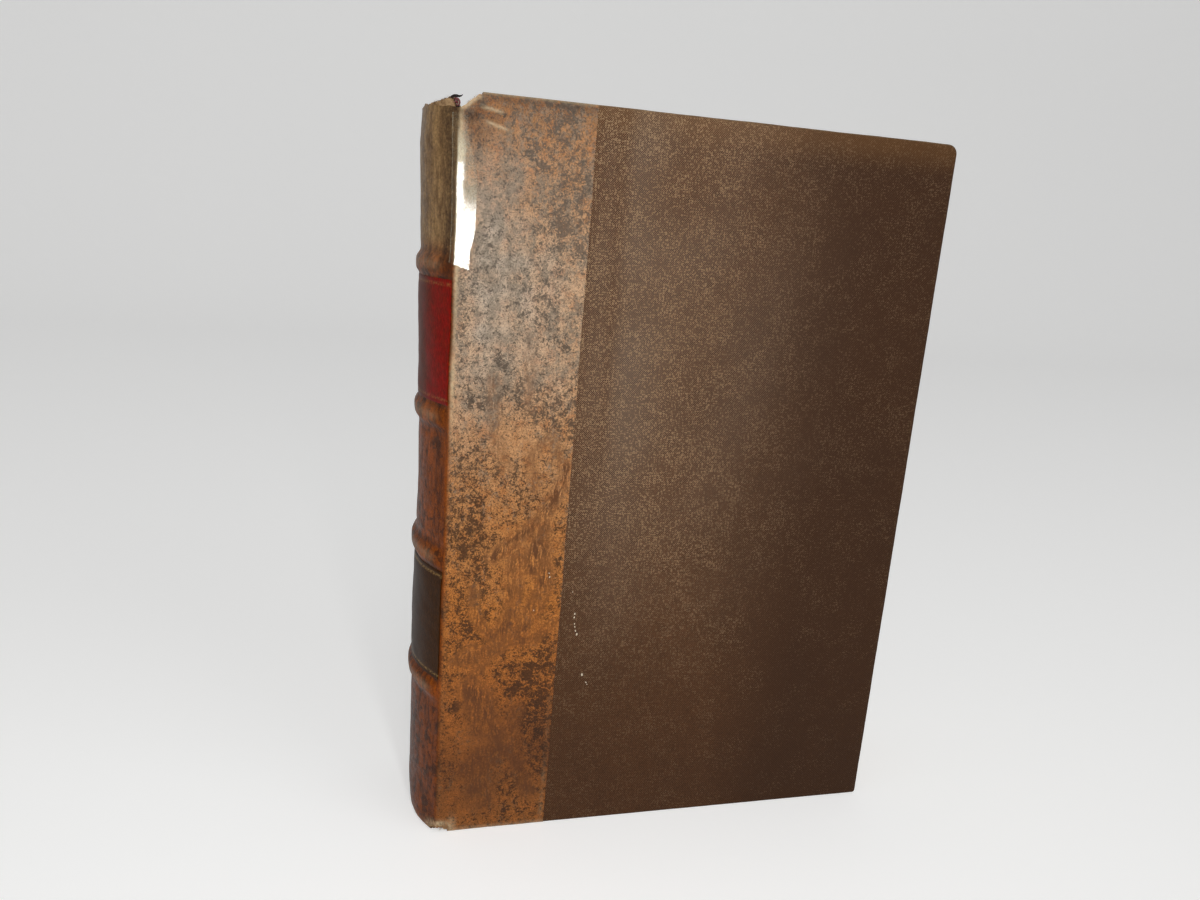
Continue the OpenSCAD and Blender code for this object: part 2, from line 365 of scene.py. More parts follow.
@dataclass
class SpineForm:
    """The outer form of the leather, from the front strip over the joints and the spine to the back strip.

    A place on it is a run and a height. The run is 0 at the front joint, grows towards the fore-edge on the
    front strip, falls through the book's thickness on the spine and goes on falling on the back strip.
    """

    book: Measures
    band_heights: tuple[float, ...]
    band_proud: float = 1.25
    band_half_w: float = 2.5
    joint_round: float = 0.5
    tail_round: float = 1.0

    def reach(self, run: np.ndarray) -> np.ndarray:
        """Distance from the nearer joint over a cover, 0 on the spine."""
        return np.where(run > 0, run, np.maximum(-run - self.book.book_t, 0))

    def bulge(self, z: np.ndarray) -> np.ndarray:
        """How far the spine stands out at each height, between its bands.

        Args:
            z: Height, in millimetres.

        Returns:
            The amount, in millimetres.
        """
        heights = (0, 3, 9, 74, 109, 123, 168, 196, 213, 221)
        bulges = (6.7, 7.0, 7.3, 7.5, 7.0, 7.1, 8.0, 8.4, 8.8, 8.5)
        return np.interp(z, heights, bulges)

    def fullness(self, z: np.ndarray) -> np.ndarray:
        """The power of the spine's curve: 2 is round, and more is flatter with fuller shoulders."""
        return 2.1 + 1.1 * smoothstep(196, 221, z) + 0.6 * smoothstep(14, 1, z)

    def strip_edge(self, z: np.ndarray) -> np.ndarray:
        """Where the leather strip on a cover ends, measured from the joint."""
        straight = np.interp(z, (0, 110, 225), (-1.2, 0.0, 0.9))
        return self.book.strip_w + straight + 0.12 * wander(z, 60, 5, 4)

    def corner_section(self, run: np.ndarray, z: np.ndarray) -> tuple[np.ndarray, np.ndarray]:
        """The section with sharp joints, as X and Y.

        Args:
            run: Place round the leather in millimetres, above zero on the front strip.
            z: Height, in millimetres.

        Returns:
            X and Y at each place.
        """
        thick = self.book.book_t
        depth = np.clip(-run, 0, thick)
        round_x = -self.bulge(z) * (1 - np.abs(1 - 2 * depth / thick) ** self.fullness(z))
        reach = self.reach(run)
        shift = self.strip_edge(z) - self.book.strip_w
        on_strip = reach + shift * smoothstep(20, self.book.strip_w, reach)
        return np.where(reach > 0, on_strip, round_x), depth

    def section(self, run: np.ndarray, z: np.ndarray) -> tuple[np.ndarray, np.ndarray]:
        """The section with rounded joints, as X and Y.

        Args:
            run: Place round the leather in millimetres, above zero on the front strip.
            z: Height, in millimetres.

        Returns:
            X and Y at each place.
        """
        soft = self.joint_round + self.tail_round * np.exp(-z / 5.0)
        taps = np.linspace(-2.2, 2.2, 11)
        shares = np.exp(-taps ** 2 / 2)
        shares /= shares.sum()
        x, y = np.zeros_like(run + z), np.zeros_like(run + z)
        for tap, share in zip(taps, shares):
            sx, sy = self.corner_section(run + tap * soft, z)
            x += share * sx
            y += share * sy
        return x, y

    def relief(self, run: np.ndarray, z: np.ndarray) -> np.ndarray:
        """How far bands, creases and waves stand out of the section.

        Args:
            run: Place round the leather in millimetres, above zero on the front strip.
            z: Height, in millimetres.

        Returns:
            The height above the section.
        """
        thick = self.book.book_t
        depth = -run
        on_spine = smoothstep(0.2, 5.0, depth) * smoothstep(thick - 0.2, thick - 5.0, depth)
        proud = np.zeros_like(run + z)
        for middle in self.band_heights:
            bend = 0.35 * np.sin(math.pi * np.clip(depth / thick, 0, 1) + middle)
            off = np.abs(z - middle - bend)
            proud += 0.5 * (1 - np.tanh((off - self.band_half_w) / 0.85))
            proud -= 0.12 * bell(off - self.band_half_w, 2.4, 1.2)
        lift = self.band_proud * proud * on_spine
        lift += 0.10 * ripple(run, z, 26, 11) + 0.035 * ripple(run, z, 7, 12)
        creases = (((5.9, 221.6), (11.2, 220.2), 0.42), ((7.0, 218.2), (12.8, 215.8), 0.5),
                   ((3.2, 219.4), (4.6, 214.0), 0.3))
        for a, b, high in creases:
            lift += high * bell(to_segment(run, z, a, b), 0, 0.75)
        dent = to_segment(run, z, (5.0, 219.6), (12.5, 217.8))
        lift -= 0.25 * bell(dent, 0, 1.0)
        lift += 0.16 * bell(run, 0, 1.1) * (0.6 + 0.4 * wander(z, 23, 8))
        return lift

    def surface(self, run: np.ndarray, z: np.ndarray, lift: np.ndarray | float = 0.0) -> np.ndarray:
        """Points on the leather, or above it.

        Args:
            run: Run of each point.
            z: Height of each point.
            lift: Distance above the leather, negative below it.

        Returns:
            The points, with X, Y and Z on the last axis.
        """
        run, z = np.broadcast_arrays(np.asarray(run, float), np.asarray(z, float))
        step = 0.05
        x, y = self.section(run, z)
        x1, y1 = self.section(run + step, z)
        x0, y0 = self.section(run - step, z)
        tx, ty = x1 - x0, y1 - y0
        size = np.maximum(np.hypot(tx, ty), 1e-9)
        rise = self.relief(run, z) + lift
        return np.stack([x + ty / size * rise, y - tx / size * rise, z], -1)


def hem_path(depth: float, reach: float, radius: float) -> np.ndarray:
    """The way round a folded edge, from the end of the turn-in to the outer face.

    Args:
        depth: Distance from the outer face to the turn-in's face.
        reach: How far the turn-in reaches from the edge.
        radius: Radius of both corners.

    Returns:
        Rows of depth and distance from the edge.
    """
    turns = np.radians(np.linspace(0, 90, 5))
    inner = [(depth, h) for h in np.linspace(reach, radius, 7)[:-1]]
    first = [(depth - radius + radius * math.cos(t), radius - radius * math.sin(t)) for t in turns]
    second = [(radius - radius * math.sin(t), radius - radius * math.cos(t)) for t in turns]
    return np.array(inner + first + [(depth / 2, 0.0)] + second[:-1])


@dataclass
class Leather:
    """The binding's leather: the spine with the front strip in one skin, and the back strip in another."""

    form: SpineForm
    thick: float = 0.7
    hem_radius: float = 0.8
    hem_reach: float = 14.0
    spine_hem_depth: float = 2.1
    spine_hem_reach: float = 3.9
    head_nip: tuple[float, float] = (5.4, 4.4)
    tail_nip: float = 2.6
    worn_tail: float = 3.9
    seam_depth: float = 40.6
    joint_reach: tuple[float, float] = (-0.7, 1.3)

    def heights(self) -> np.ndarray:
        """Heights of the rows on the face, closer together at the bands and the head.

        Returns:
            The heights, in millimetres.
        """
        top = self.form.book.cover_h
        spots = np.arange(0, top + 0.1, 0.25)
        need = np.full_like(spots, 1.0)
        for middle in self.form.band_heights:
            need += 0.9 * bell(spots, middle, 5, 4)
        need += 0.9 * smoothstep(top - 14, top - 8, spots)
        total = np.concatenate([[0], np.cumsum(need[1:])])
        count = int(total[-1] * 0.25 / 1.05)
        return np.interp(np.linspace(0, total[-1], count), total, spots)

    def rim(self, run: np.ndarray) -> np.ndarray:
        """Height of the leather's upper edge, torn on the spine and cut beside the joints.

        Args:
            run: Place round the leather in millimetres, above zero on the front strip.

        Returns:
            The height at each place.
        """
        book = self.form.book
        depth = np.clip(-run, 0, book.book_t)
        shares = (0, 0.08, 0.2, 0.34, 0.5, 0.66, 0.82, 1)
        drops = (4.5, 4.2, 3.7, 3.1, 3.4, 2.9, 3.3, 2.8)
        torn = book.cover_h - np.interp(depth / book.book_t, shares, drops)
        torn += 0.22 * wander(run, 7, 21, 4)
        reach = self.form.reach(run)
        wide, high = self.head_nip
        nip = book.cover_h - high * (1 - np.clip((reach - book.joint_gap) / wide, 0, 1))
        nip += 0.12 * wander(run, 2.4, 22, 3) * (reach < wide)
        flat_top = book.cover_h - self.hem_radius * smoothstep(wide * 0.75, wide + 0.3, reach)
        return np.minimum(np.where(reach > 0, nip, torn), flat_top)

    def foot(self, run: np.ndarray) -> np.ndarray:
        """Height of the leather's lower edge on the face.

        Args:
            run: Place round the leather in millimetres, above zero on the front strip.

        Returns:
            The height at each place.
        """
        book = self.form.book
        reach = self.form.reach(run)
        nip = np.clip(self.tail_nip + book.joint_gap - reach, self.hem_radius, 2.2)
        through = self.hem_radius + smoothstep(self.worn_tail + 0.3, self.worn_tail - 0.5, run)
        through += 0.14 * wander(run, 1.3, 24, 3) * (run < self.worn_tail)
        worn = 0.75 + 1.2 * bell(run, -0.4, 1.8) + 0.15 * wander(run, 2.6, 23, 3)
        return np.where(run > 0, through, np.where(reach > 0, nip, worn))

    def skin(self, runs: np.ndarray) -> Skin:
        """The outer side between the given runs, with the turn-ins at head and tail.

        Args:
            runs: Run of each column, falling.

        Returns:
            The skin, painted.
        """
        book = self.form.book
        rows = self.heights()
        run = runs[None, :]
        low, high = self.foot(run), self.rim(run)
        lower_end, upper_end = 14.0, book.cover_h - 20
        z = np.broadcast_to(rows[:, None], (len(rows), len(runs)))
        up = np.clip((z - upper_end) / (book.cover_h - upper_end), 0, 1)
        down = np.clip(z / lower_end, 0, 1)
        z = np.where(z > upper_end, upper_end + up * (high - upper_end), z)
        z = np.where(rows[:, None] < lower_end, low + down * (lower_end - low), z)
        face = self.form.surface(run, z)

        reach = self.form.reach(runs)
        on_strip = reach > 0
        depth = np.where(on_strip, book.turn_back, self.spine_hem_depth)
        long = np.where(on_strip, self.hem_reach, self.spine_hem_reach)
        paths = np.stack([hem_path(d, r, self.hem_radius if s else 1.0)
                          for d, r, s in zip(depth, long, on_strip)], 1)
        tail = self.form.surface(run, paths[:, :, 1], -paths[:, :, 0])
        head = self.form.surface(run, book.cover_h - paths[::-1, :, 1], -paths[::-1, :, 0])
        points = np.concatenate([tail, face, head])

        hems = len(paths)
        cells = np.ones((len(points) - 1, len(runs) - 1), bool)
        middle = (runs[1:] + runs[:-1]) / 2
        reach = np.where(middle > 0, middle, -middle - book.book_t)
        bare = np.where(middle > 0, self.worn_tail, self.tail_nip + book.joint_gap)
        tail_open = (reach > bare) | ((middle < -2.2) & (middle > 2.2 - book.book_t))
        cells[:hems, :] = tail_open
        cells[-hems:, :] = reach > self.head_nip[0] + book.joint_gap
        made = Skin(points, self.thick, cells)
        height = np.concatenate([paths[:, :, 1], z, book.cover_h - paths[::-1, :, 1]])
        self.paint(made, np.broadcast_to(run, height.shape), height)
        return made

    def paint(self, skin: Skin, run: np.ndarray, z: np.ndarray) -> None:
        """Gives each point the amounts that the leather's finish reads.

        Args:
            skin: The skin to paint.
            run: Run of each point.
            z: Height of each point.
        """
        book = self.form.book
        back = run < -book.book_t / 2
        reach = np.where(back, -run - book.book_t, run)
        on_strip = smoothstep(-0.6, 1.2, reach)
        grey = self.grey_wash_and_sheen(reach, z, back)
        smoke, lateral, along = self.smoke(reach, z, back)
        skin.paint = {
            "strip": on_strip,
            "grey": grey,
            "smoke": smoke,
            "flow_across": lateral,
            "flow_along": along,
            "speck": self.speckle(reach, z, back),
            "worn": self.wear_and_highlights(run, z),
            "grime_and_shade": self.grime_and_shade(run, z),
            "bloom_and_sheen": self.pale_veil_and_sheen(reach, z, back),
            "ink": self.ink_blots(reach, z, back),
        }

    def grey_wash_and_sheen(self, x: np.ndarray, z: np.ndarray, back: np.ndarray) -> np.ndarray:
        """Amount of slate-grey wash: real patches, with painted sheen making it strongest over the upper
        third of a strip.

        Args:
            x: Distance from the joint, in millimetres.
            z: Height, in millimetres.
            back: True on the back cover.

        Returns:
            The amount, 0 to 1.
        """
        # painted sheen: more grey over the upper third
        upper = smoothstep(96, 176, z + 5 * ripple(x, z, 30, 31))
        wash = blots(0.25 + 0.55 * upper, x, z, (
            (13, 202, 9, 9, 0.25), (9, 190, 7, 13, 0.35), (28, 190, 6, 6, -0.2), (30, 212, 5, 8, -0.3),
            (14, 178, 10, 8, 0.2), (31, 159, 4, 8, 0.15), (11, 142, 5, 9, 0.4), (21, 131, 7, 7, -0.35),
            (8, 126, 5, 5, -0.2), (30, 174, 5, 6, -0.25), (7, 218, 4, 3, -0.5), (15, 218, 5, 3, -0.3),
            (26, 146, 5, 5, 0.15), (6, 152, 3, 9, 0.1), (16, 150, 4, 12, 0.2), (6.3, 144, 1.1, 9, 0.45),
            (9.9, 142, 1.0, 10, 0.5), (13.4, 146, 1.6, 8, 0.5), (17.5, 128, 1.4, 4, 0.4)))
        turned = np.clip(0.35 + 0.25 * ripple(x, z, 60, 32), 0, 0.7)
        return np.clip(np.where(back, turned, wash), 0, 1)

    def pale_veil_and_sheen(self, x: np.ndarray, z: np.ndarray, back: np.ndarray) -> np.ndarray:
        """Pale greyish veil, partly a film on the leather and partly painted sheen, thickest beside the joint
        below the head.

        Args:
            x: Distance from the joint, in millimetres.
            z: Height, in millimetres.
            back: True on the back cover.

        Returns:
            The amount, 0 to 1.
        """
        cloud = blots(np.zeros_like(x), x, z, (
            (9, 192, 8, 17, 0.75), (20, 178, 12, 12, 0.55), (16, 158, 14, 16, 0.5), (8, 166, 6, 20, 0.45),
            (6, 140, 7, 14, 0.25), (16, 205, 5, 6, 0.2), (30, 150, 6, 10, 0.2)))
        cloud = cloud * (0.85 + 0.25 * ripple(x, z, 8, 33))
        return np.clip(np.where(back, 0.3 * cloud, cloud), 0, 1)

    def ink_blots(self, x: np.ndarray, z: np.ndarray, back: np.ndarray) -> np.ndarray:
        """Single large drops of stain.

        Args:
            x: Distance from the joint, in millimetres.
            z: Height, in millimetres.
            back: True on the back cover.

        Returns:
            The amount, 0 to 1.
        """
        drops = np.zeros_like(x)
        for cx, cz, r in (
                (27.2, 54.4, 1.7), (22.4, 49.8, 1.8), (4.8, 45.1, 1.5), (9.6, 41.3, 1.9), (26.4, 38.6, 1.8),
                (29.2, 18.5, 1.2), (22.3, 6.6, 1.0), (34.3, 91.8, 1.6), (32.1, 67.3, 1.7), (7.7, 71.9, 1.5),
                (8.8, 112.1, 1.4), (5.1, 96.7, 1.2), (12, 142.3, 2.2), (5.8, 141.5, 1.7), (9.1, 140.7, 1.6),
                (31.6, 158.9, 1.6), (13.9, 153.9, 1.5), (19.5, 211.5, 2.0), (29.6, 222.1, 2.2),
                (22.3, 207.9, 1.7), (25.4, 217.2, 1.4), (28.1, 192.6, 2.0), (34.8, 185.4, 1.6),
                (9.1, 190.2, 0.9), (20.5, 190.4, 0.6), (19.5, 188.5, 0.6), (18.2, 186.8, 0.5),
                (9.6, 185.5, 0.5), (33.5, 46, 1.3), (30.5, 44.5, 1.1), (34.6, 57.5, 1.0), (30.8, 61.5, 1.2),
                (33.6, 62.5, 1.0), (28.6, 57.5, 1.1), (11.8, 82.0, 1.2), (13.4, 76.0, 1.0), (17.6, 79.0, 0.9),
                (31.5, 13.5, 1.1), (26.5, 16.5, 1.0), (20.5, 14.0, 0.9)):
            drops = np.maximum(drops, bell(np.hypot(x - cx, (z - cz) * 0.85), 0, r))
        return np.where(back, 0.0, drops)

    def smoke(self, x: np.ndarray, z: np.ndarray, back: np.ndarray) -> tuple[np.ndarray, ...]:
        """Brown smoky stains that run in strokes, with the strokes' own coordinates for their grain.

        Args:
            x: Distance from the joint.
            z: Height.
            back: True on the back cover.

        Returns:
            The stain's amount, the distance across the strokes and the distance along them.
        """
        strokes = (
            (((35, 122), (32.3, 113), (29.5, 108), (24, 102), (18.3, 97), (14.2, 94)), 2.2, 1.0),
            (((29, 104), (27.8, 97), (26.5, 90)), 2.9, 1.0),
            (((30, 96), (31, 84), (26, 72), (16, 64), (9, 60)), 3.0, 0.8),
            (((9, 84), (10, 74), (17, 66), (29, 66), (34, 72)), 1.8, 0.75),
            (((21.5, 95), (21.5, 86), (21, 77), (18, 67)), 3.2, 0.85),
            (((4, 60), (10, 64), (13, 59), (10, 54), (16, 46)), 2.2, 0.75),
            (((10, 50), (14, 38), (18, 30), (12, 22), (14, 12)), 5.0, 0.85),
            (((24, 42), (22, 30), (26, 22), (30, 12)), 3.2, 0.6),
            (((12, 148), (13, 132), (17, 122)), 2.2, 0.45),
            (((22, 160), (23, 140)), 1.8, 0.35),
            (((33, 124), (30, 132), (24, 126), (26, 116)), 1.8, 0.5),
        )
        amount = np.zeros_like(x)
        weight = np.full_like(x, 0.12)
        across, along = weight * x, weight * z * 0.4
        for points, wide, much in strokes:
            shift = np.where(back, -14.0, 0.0)
            d = to_line(x, z + shift, points)
            share = bell(d, 0, wide)
            amount = np.maximum(amount, much * bell(d, 0, wide, 4))
            reach = sum(math.dist(a, b) for a, b in zip(points, points[1:]))
            first = np.hypot(x - points[0][0], z + shift - points[0][1])
            last = np.hypot(x - points[-1][0], z + shift - points[-1][1])
            across = across + share * d
            along = along + share * reach * first / (first + last + 1e-6)
            weight = weight + share
        edge = 0.5 + 0.5 * ripple(x, z, 9, 41)
        return np.clip(amount * (0.75 + 0.5 * edge), 0, 1), across / weight, along / weight

    def speckle(self, x: np.ndarray, z: np.ndarray, back: np.ndarray) -> np.ndarray:
        """How thickly the dark specks lie.

        Args:
            x: Distance from the joint, in millimetres.
            z: Height, in millimetres.
            back: True on the back cover.

        Returns:
            The amount, 0 to 1.
        """
        much = blots(0.58 + 0.12 * ripple(x, z, 22, 51), x, z, (
            (31, 200, 6, 14, 0.3), (22, 160, 12, 10, -0.1), (8, 104, 7, 16, 0.4), (27, 138, 9, 12, 0.25),
            (28, 54, 7, 7, 0.4), (31, 40, 5, 22, 0.4), (8, 78, 6, 14, 0.35), (15, 30, 9, 12, -0.45),
            (24, 16, 6, 8, 0.2), (6, 46, 4, 8, 0.2), (19, 88, 6, 10, -0.35), (21, 130, 6, 6, -0.35),
            (12, 12, 12, 8, -0.35), (7, 200, 8, 14, -0.3)))
        return np.clip(np.where(back, 0.5 + 0.2 * ripple(x, z, 30, 52), much), 0, 1)

    def wear_and_highlights(self, run: np.ndarray, z: np.ndarray) -> np.ndarray:
        """Where the surface is pale: rubbed on the joints, the cut corners, the strips' edges and the tail,
        with painted highlights along the front joint's ridge, on two creases at the head and on the worn tail
        corner.

        Args:
            run: Place round the leather in millimetres, above zero on the front strip.
            z: Height, in millimetres.

        Returns:
            The amount, 0 to 1.
        """
        book = self.form.book
        thick = book.book_t
        # pale line along the front joint's ridge: rubbed leather and a painted highlight
        ridge = 0.04 + 0.78 * smoothstep(112, 150, z)
        rubbed = ridge * bell(run, 0.35, 0.6) * (0.7 + 0.3 * wander(z, 31, 61, 4))
        rubbed += 0.5 * bell(run + thick, -0.2, 0.8)
        reach = np.where(run > 0, run, -run - thick)
        seam = 0.16 * smoothstep(150, 40, z) * (0.6 + 0.4 * wander(z, 13, 62, 4))
        rubbed += seam * bell(reach, self.form.strip_edge(z), 0.35)
        rubbed += 0.35 * bell(z, 0.4, 0.8)
        rubbed += 0.5 * bell(z - book.cover_h, -0.15, 0.35)
        # worn tail corner: leather rubbed through, with painted highlights
        ragged = 0.75 + 0.4 * wander(run * 1.3 + z, 1.9, 64, 4)
        rubbed += ragged * (1.1 * blot(run, z, 0.8, 3.3, 2.9, 1.0) + 0.9 * blot(run, z, 5.0, 2.4, 0.9, 2.6))
        rubbed += ragged * 0.7 * blot(run, z, -2.4, 1.8, 1.9, 0.9)
        # painted highlights on two creases near the head
        for a, b in (((5.9, 221.2), (11.0, 220.3)), ((7.4, 217.5), (12.5, 215.9))):
            rubbed += 0.75 * bell(to_segment(run, z, a, b), 0, 0.4)
        cut = to_segment(run, z, (1.0, 221.2), (4.4, 223.9))
        rubbed += 0.9 * bell(cut, 0, 0.95, 4) * (0.8 + 0.2 * wander(run, 1.1, 63, 3))
        for middle in self.form.band_heights:
            rubbed += 0.24 * bell(z, middle, 1.6) * smoothstep(-2, -6, run) * (run > -thick)
        return np.clip(rubbed, 0, 1)

    def grime_and_shade(self, run: np.ndarray, z: np.ndarray) -> np.ndarray:
        """Where the leather is dark: dirt and painted shade beside the joints, darker at the bands' feet,
        dirt near the torn head, and painted shade across the middle of the spine's lower part.

        Args:
            run: Place round the leather in millimetres, above zero on the front strip.
            z: Height, in millimetres.

        Returns:
            The amount, 0 to 1.
        """
        # dirt and painted shade beside the front joint
        beside = bell(run + 3.0 - smoothstep(150, 190, z), 0, 2.5) * smoothstep(0.3, -0.6, run)
        dark = (0.45 + 0.5 * smoothstep(150, 190, z)) * beside * smoothstep(20, 130, z)
        # painted shade across the middle of the spine's lower part, away from both joints
        depth = np.minimum(-run, self.form.book.book_t + run)
        dark += 0.45 * smoothstep(7, 17, depth) * smoothstep(110, 20, z)
        for middle in self.form.band_heights:
            foot = np.abs(z - middle) - self.form.band_half_w - 1.3
            dark += 0.55 * bell(foot, 0, 0.9) * smoothstep(0.5, 2.0, depth)
        dark += 0.95 * blot(run, z, 2.4, 218.8, 2.2, 1.7) + 0.7 * blot(run, z, 5.4, 221.4, 1.2, 2.2)
        dark += 0.7 * blot(run, z, -2.6, 218.2, 1.6, 2.2) + 0.4 * blot(run, z, 4.4, 214.5, 3.4, 3.0)
        dark += 0.30 * blot(run, z, 5.0, 209, 2.6, 4.0) + 0.35 * blot(run, z, 9.0, 218.9, 4.5, 1.2)
        dark += 0.22 * blot(run, z, 7.5, 213.5, 6.0, 4.0)
        dark += 0.38 * bell(z, 223.5, 0.8) * smoothstep(5, 8, run)
        dark = dark * (1 - 0.9 * bell(to_segment(run, z, (1.0, 221.4), (4.4, 224.0)), 0, 0.9, 4))
        return np.clip(dark, 0, 1)

    def columns(self, start: float, end: float) -> np.ndarray:
        """Runs of the columns from start down to end, closest together at the joints.

        Args:
            start: The first run, in millimetres.
            end: The last run, in millimetres.

        Returns:
            The runs, in millimetres.
        """
        thick = self.form.book.book_t
        spots = np.arange(end, start + 0.01, 0.05)
        to_joint = np.minimum(np.abs(spots - 0.3), np.abs(spots + thick + 0.3))
        need = 1 / (0.28 + 0.9 * smoothstep(1.5, 5.0, to_joint))
        total = np.concatenate([[0], np.cumsum((need[1:] + need[:-1]) / 2 * np.diff(spots))])
        marks = np.linspace(0, total[-1], int(total[-1]) + 2)
        return np.interp(marks, total, spots)[::-1].copy()

    def build(self) -> list[bpy.types.Object]:
        """Makes both skins, each shaped over its joint.

        Returns:
            The front skin and the back skin.
        """
        book = self.form.book
        low, high = self.joint_reach
        front = self.skin(self.columns(book.strip_w, -self.seam_depth)).build("binding_leather", book)
        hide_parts("front_leather", "spine_leather")
        book.at(low, 0, book.hinge_z)
        book.at(high, 0, book.hinge_z)
        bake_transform(front)
        end = -book.book_t - book.strip_w
        back = self.skin(self.columns(-self.seam_depth, end)).build("back_strip_leather", book)
        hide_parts("back_leather")
        book.at(low, book.book_t, book.hinge_z)
        book.at(high, book.book_t, book.hinge_z)
        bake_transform(back)
        return [front, back]


class Side(Enum):
    """Which cover a piece belongs to."""

    FRONT = "front"
    BACK = "back"

    @property
    def body(self) -> str:
        """The name of the cover's body."""
        return f"{self.value}_cover"

    def turn(self, points: np.ndarray, book: Measures) -> np.ndarray:
        """Mirrors points made for the front cover onto the back one, where that is the side.

        Args:
            points: The points, in millimetres.
            book: The book's measures.

        Returns:
            The points for this side.
        """
        if self is Side.FRONT:
            return points
        return points * np.array([1, -1, 1]) + np.array([0, book.book_t, 0])


@dataclass
class ClothSide:
    """The cloth on one cover: a face, three edges and their turn-ins, folded from one sheet."""

    form: SpineForm
    side: Side
    thick: float = 0.5
    edge_radius: float = 0.75
    head_corner: float = 3.0
    tail_corner: float = 1.2
    turn_in: float = 14.0
    across: int = 40
    spacing: float = 1.6

    def outline(self) -> tuple[np.ndarray, np.ndarray]:
        """The cover's outline from the head of the strip round to its tail, with its outward directions.

        Returns:
            The points as X and Z, and the directions.
        """
        book = self.form.book
        right, top = book.cover_w, book.cover_h
        start = self.form.strip_edge(np.array(top)) - 0.05
        end = self.form.strip_edge(np.array(0.0)) - 0.05
        head, foot = self.head_corner, self.tail_corner
        places, ways = [], []
        for x in np.linspace(start, right - head, int((right - head - start) / self.spacing)):
            places.append((x, top))
            ways.append((0.0, 1.0))
        for t in np.radians(np.linspace(90, 0, 9))[1:-1]:
            places.append((right - head + head * math.cos(t), top - head + head * math.sin(t)))
            ways.append((math.cos(t), math.sin(t)))
        for z in np.linspace(top - head, foot, int((top - head - foot) / self.spacing)):
            places.append((right, z))
            ways.append((1.0, 0.0))
        for t in np.radians(np.linspace(0, -90, 7))[1:-1]:
            places.append((right - foot + foot * math.cos(t), foot + foot * math.sin(t)))
            ways.append((math.cos(t), math.sin(t)))
        for x in np.linspace(right - foot, end, int((right - foot - end) / self.spacing)):
            places.append((x, 0.0))
            ways.append((0.0, -1.0))
        return np.array(places), np.array(ways)

    def inset(self, places: np.ndarray, ways: np.ndarray, by: float) -> np.ndarray:
        """The outline drawn in, with mitred corners past their own rounding.

        Args:
            places: Its points.
            ways: The outward direction at each point.
            by: How far it is drawn in, in millimetres.

        Returns:
            The new points.
        """
        book = self.form.book
        near = places - ways * min(by, self.tail_corner)
        if by <= self.tail_corner:
            return near
        drawn = places - ways * by
        return np.stack([np.minimum(drawn[:, 0], book.cover_w - by),
                         np.clip(drawn[:, 1], by, book.cover_h - by)], 1)

    def relief(self, x: np.ndarray, z: np.ndarray) -> np.ndarray:
        """Slight unevenness of the pasted cloth."""
        lift = 0.05 * ripple(x, z, 34, 71 if self.side is Side.FRONT else 72) + 0.02 * ripple(x, z, 9, 73)
        return lift + 0.10 * bell(x, 41.5, 1.4) * smoothstep(60, 160, z)

    def build(self) -> bpy.types.Object:
        """Makes the cloth.

        Returns:
            The cloth's object, riding on its cover.
        """
        book = self.form.book
        places, ways = self.outline()
        radius = self.edge_radius
        rim = self.inset(places, ways, radius)
        share = np.linspace(0, 1, len(places))
        left_z = (1 - share) * (book.cover_h - radius) + share * radius
        left = np.stack([self.form.strip_edge(left_z) - 0.05, left_z], 1)
        columns, normals = [], []
        for part in np.linspace(0, 1, self.across):
            flat = left * (1 - part) + rim * part
            fade = smoothstep(0, 0.1, 1 - part) if part < 1 else 0.0
            depth = book.cloth_y - self.relief(flat[:, 0], flat[:, 1]) * (0.3 + 0.7 * fade)
            columns.append(np.stack([flat[:, 0], depth, flat[:, 1]], 1))
            normals.append(np.tile([0.0, -1.0, 0.0], (len(places), 1)))
        deep = book.turn_back - book.cloth_y
        near = [(t, 0) for t in np.radians([22, 45, 68, 90])]
        steps = near + [(t, 1) for t in np.radians([90, 112, 135, 158, 180])]
        wave = 0.06 * wander(np.arange(len(places)) * self.spacing, 40, 75, 4)
        wave = np.where(ways[:, 1] < -0.1, np.minimum(wave, 0), wave)
        for turn, far in steps:
            out = radius * (1 - math.sin(turn))
            depth = radius * (1 - math.cos(turn)) if not far else deep - radius * (1 + math.cos(turn))
            ring = self.inset(places, ways, out) + ways * (wave * math.sin(turn))[:, None]
            columns.append(np.stack([ring[:, 0], np.full(len(ring), book.cloth_y + depth), ring[:, 1]], 1))
            normals.append(np.stack([ways[:, 0] * math.sin(turn), np.full(len(ring), -math.cos(turn)),
                                     ways[:, 1] * math.sin(turn)], 1))
        for by in (2.0, 3.2, 5.0, 9.0, self.turn_in):
            ring = self.inset(places, ways, by)
            columns.append(np.stack([ring[:, 0], np.full(len(ring), book.turn_back), ring[:, 1]], 1))
            normals.append(np.tile([0.0, 1.0, 0.0], (len(places), 1)))
        points = np.stack(columns, 1)
        facing = np.stack(normals, 1)
        over = (points[:, :, 1] - book.cloth_y) * np.abs(ways[:, 1])[:, None]
        if self.side is Side.BACK:
            points, facing, over = points[::-1], facing[::-1] * np.array([1, -1, 1]), -over[::-1]
        skin = Skin(self.side.turn(points, book), self.thick, facing=facing)
        x, z = points[:, :, 0], points[:, :, 2]
        skin.paint = {"dust_and_sheen": self.dust_and_sheen(x, z), "rubbed": self.rubbed(x, z, points[:, :, 1]), "over": over}
        made = skin.build(f"{self.side.value}_side_cloth", book)
        tidy_mesh(made)
        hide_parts(f"{self.side.value}_cloth")
        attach(made, self.side.body)
        return made

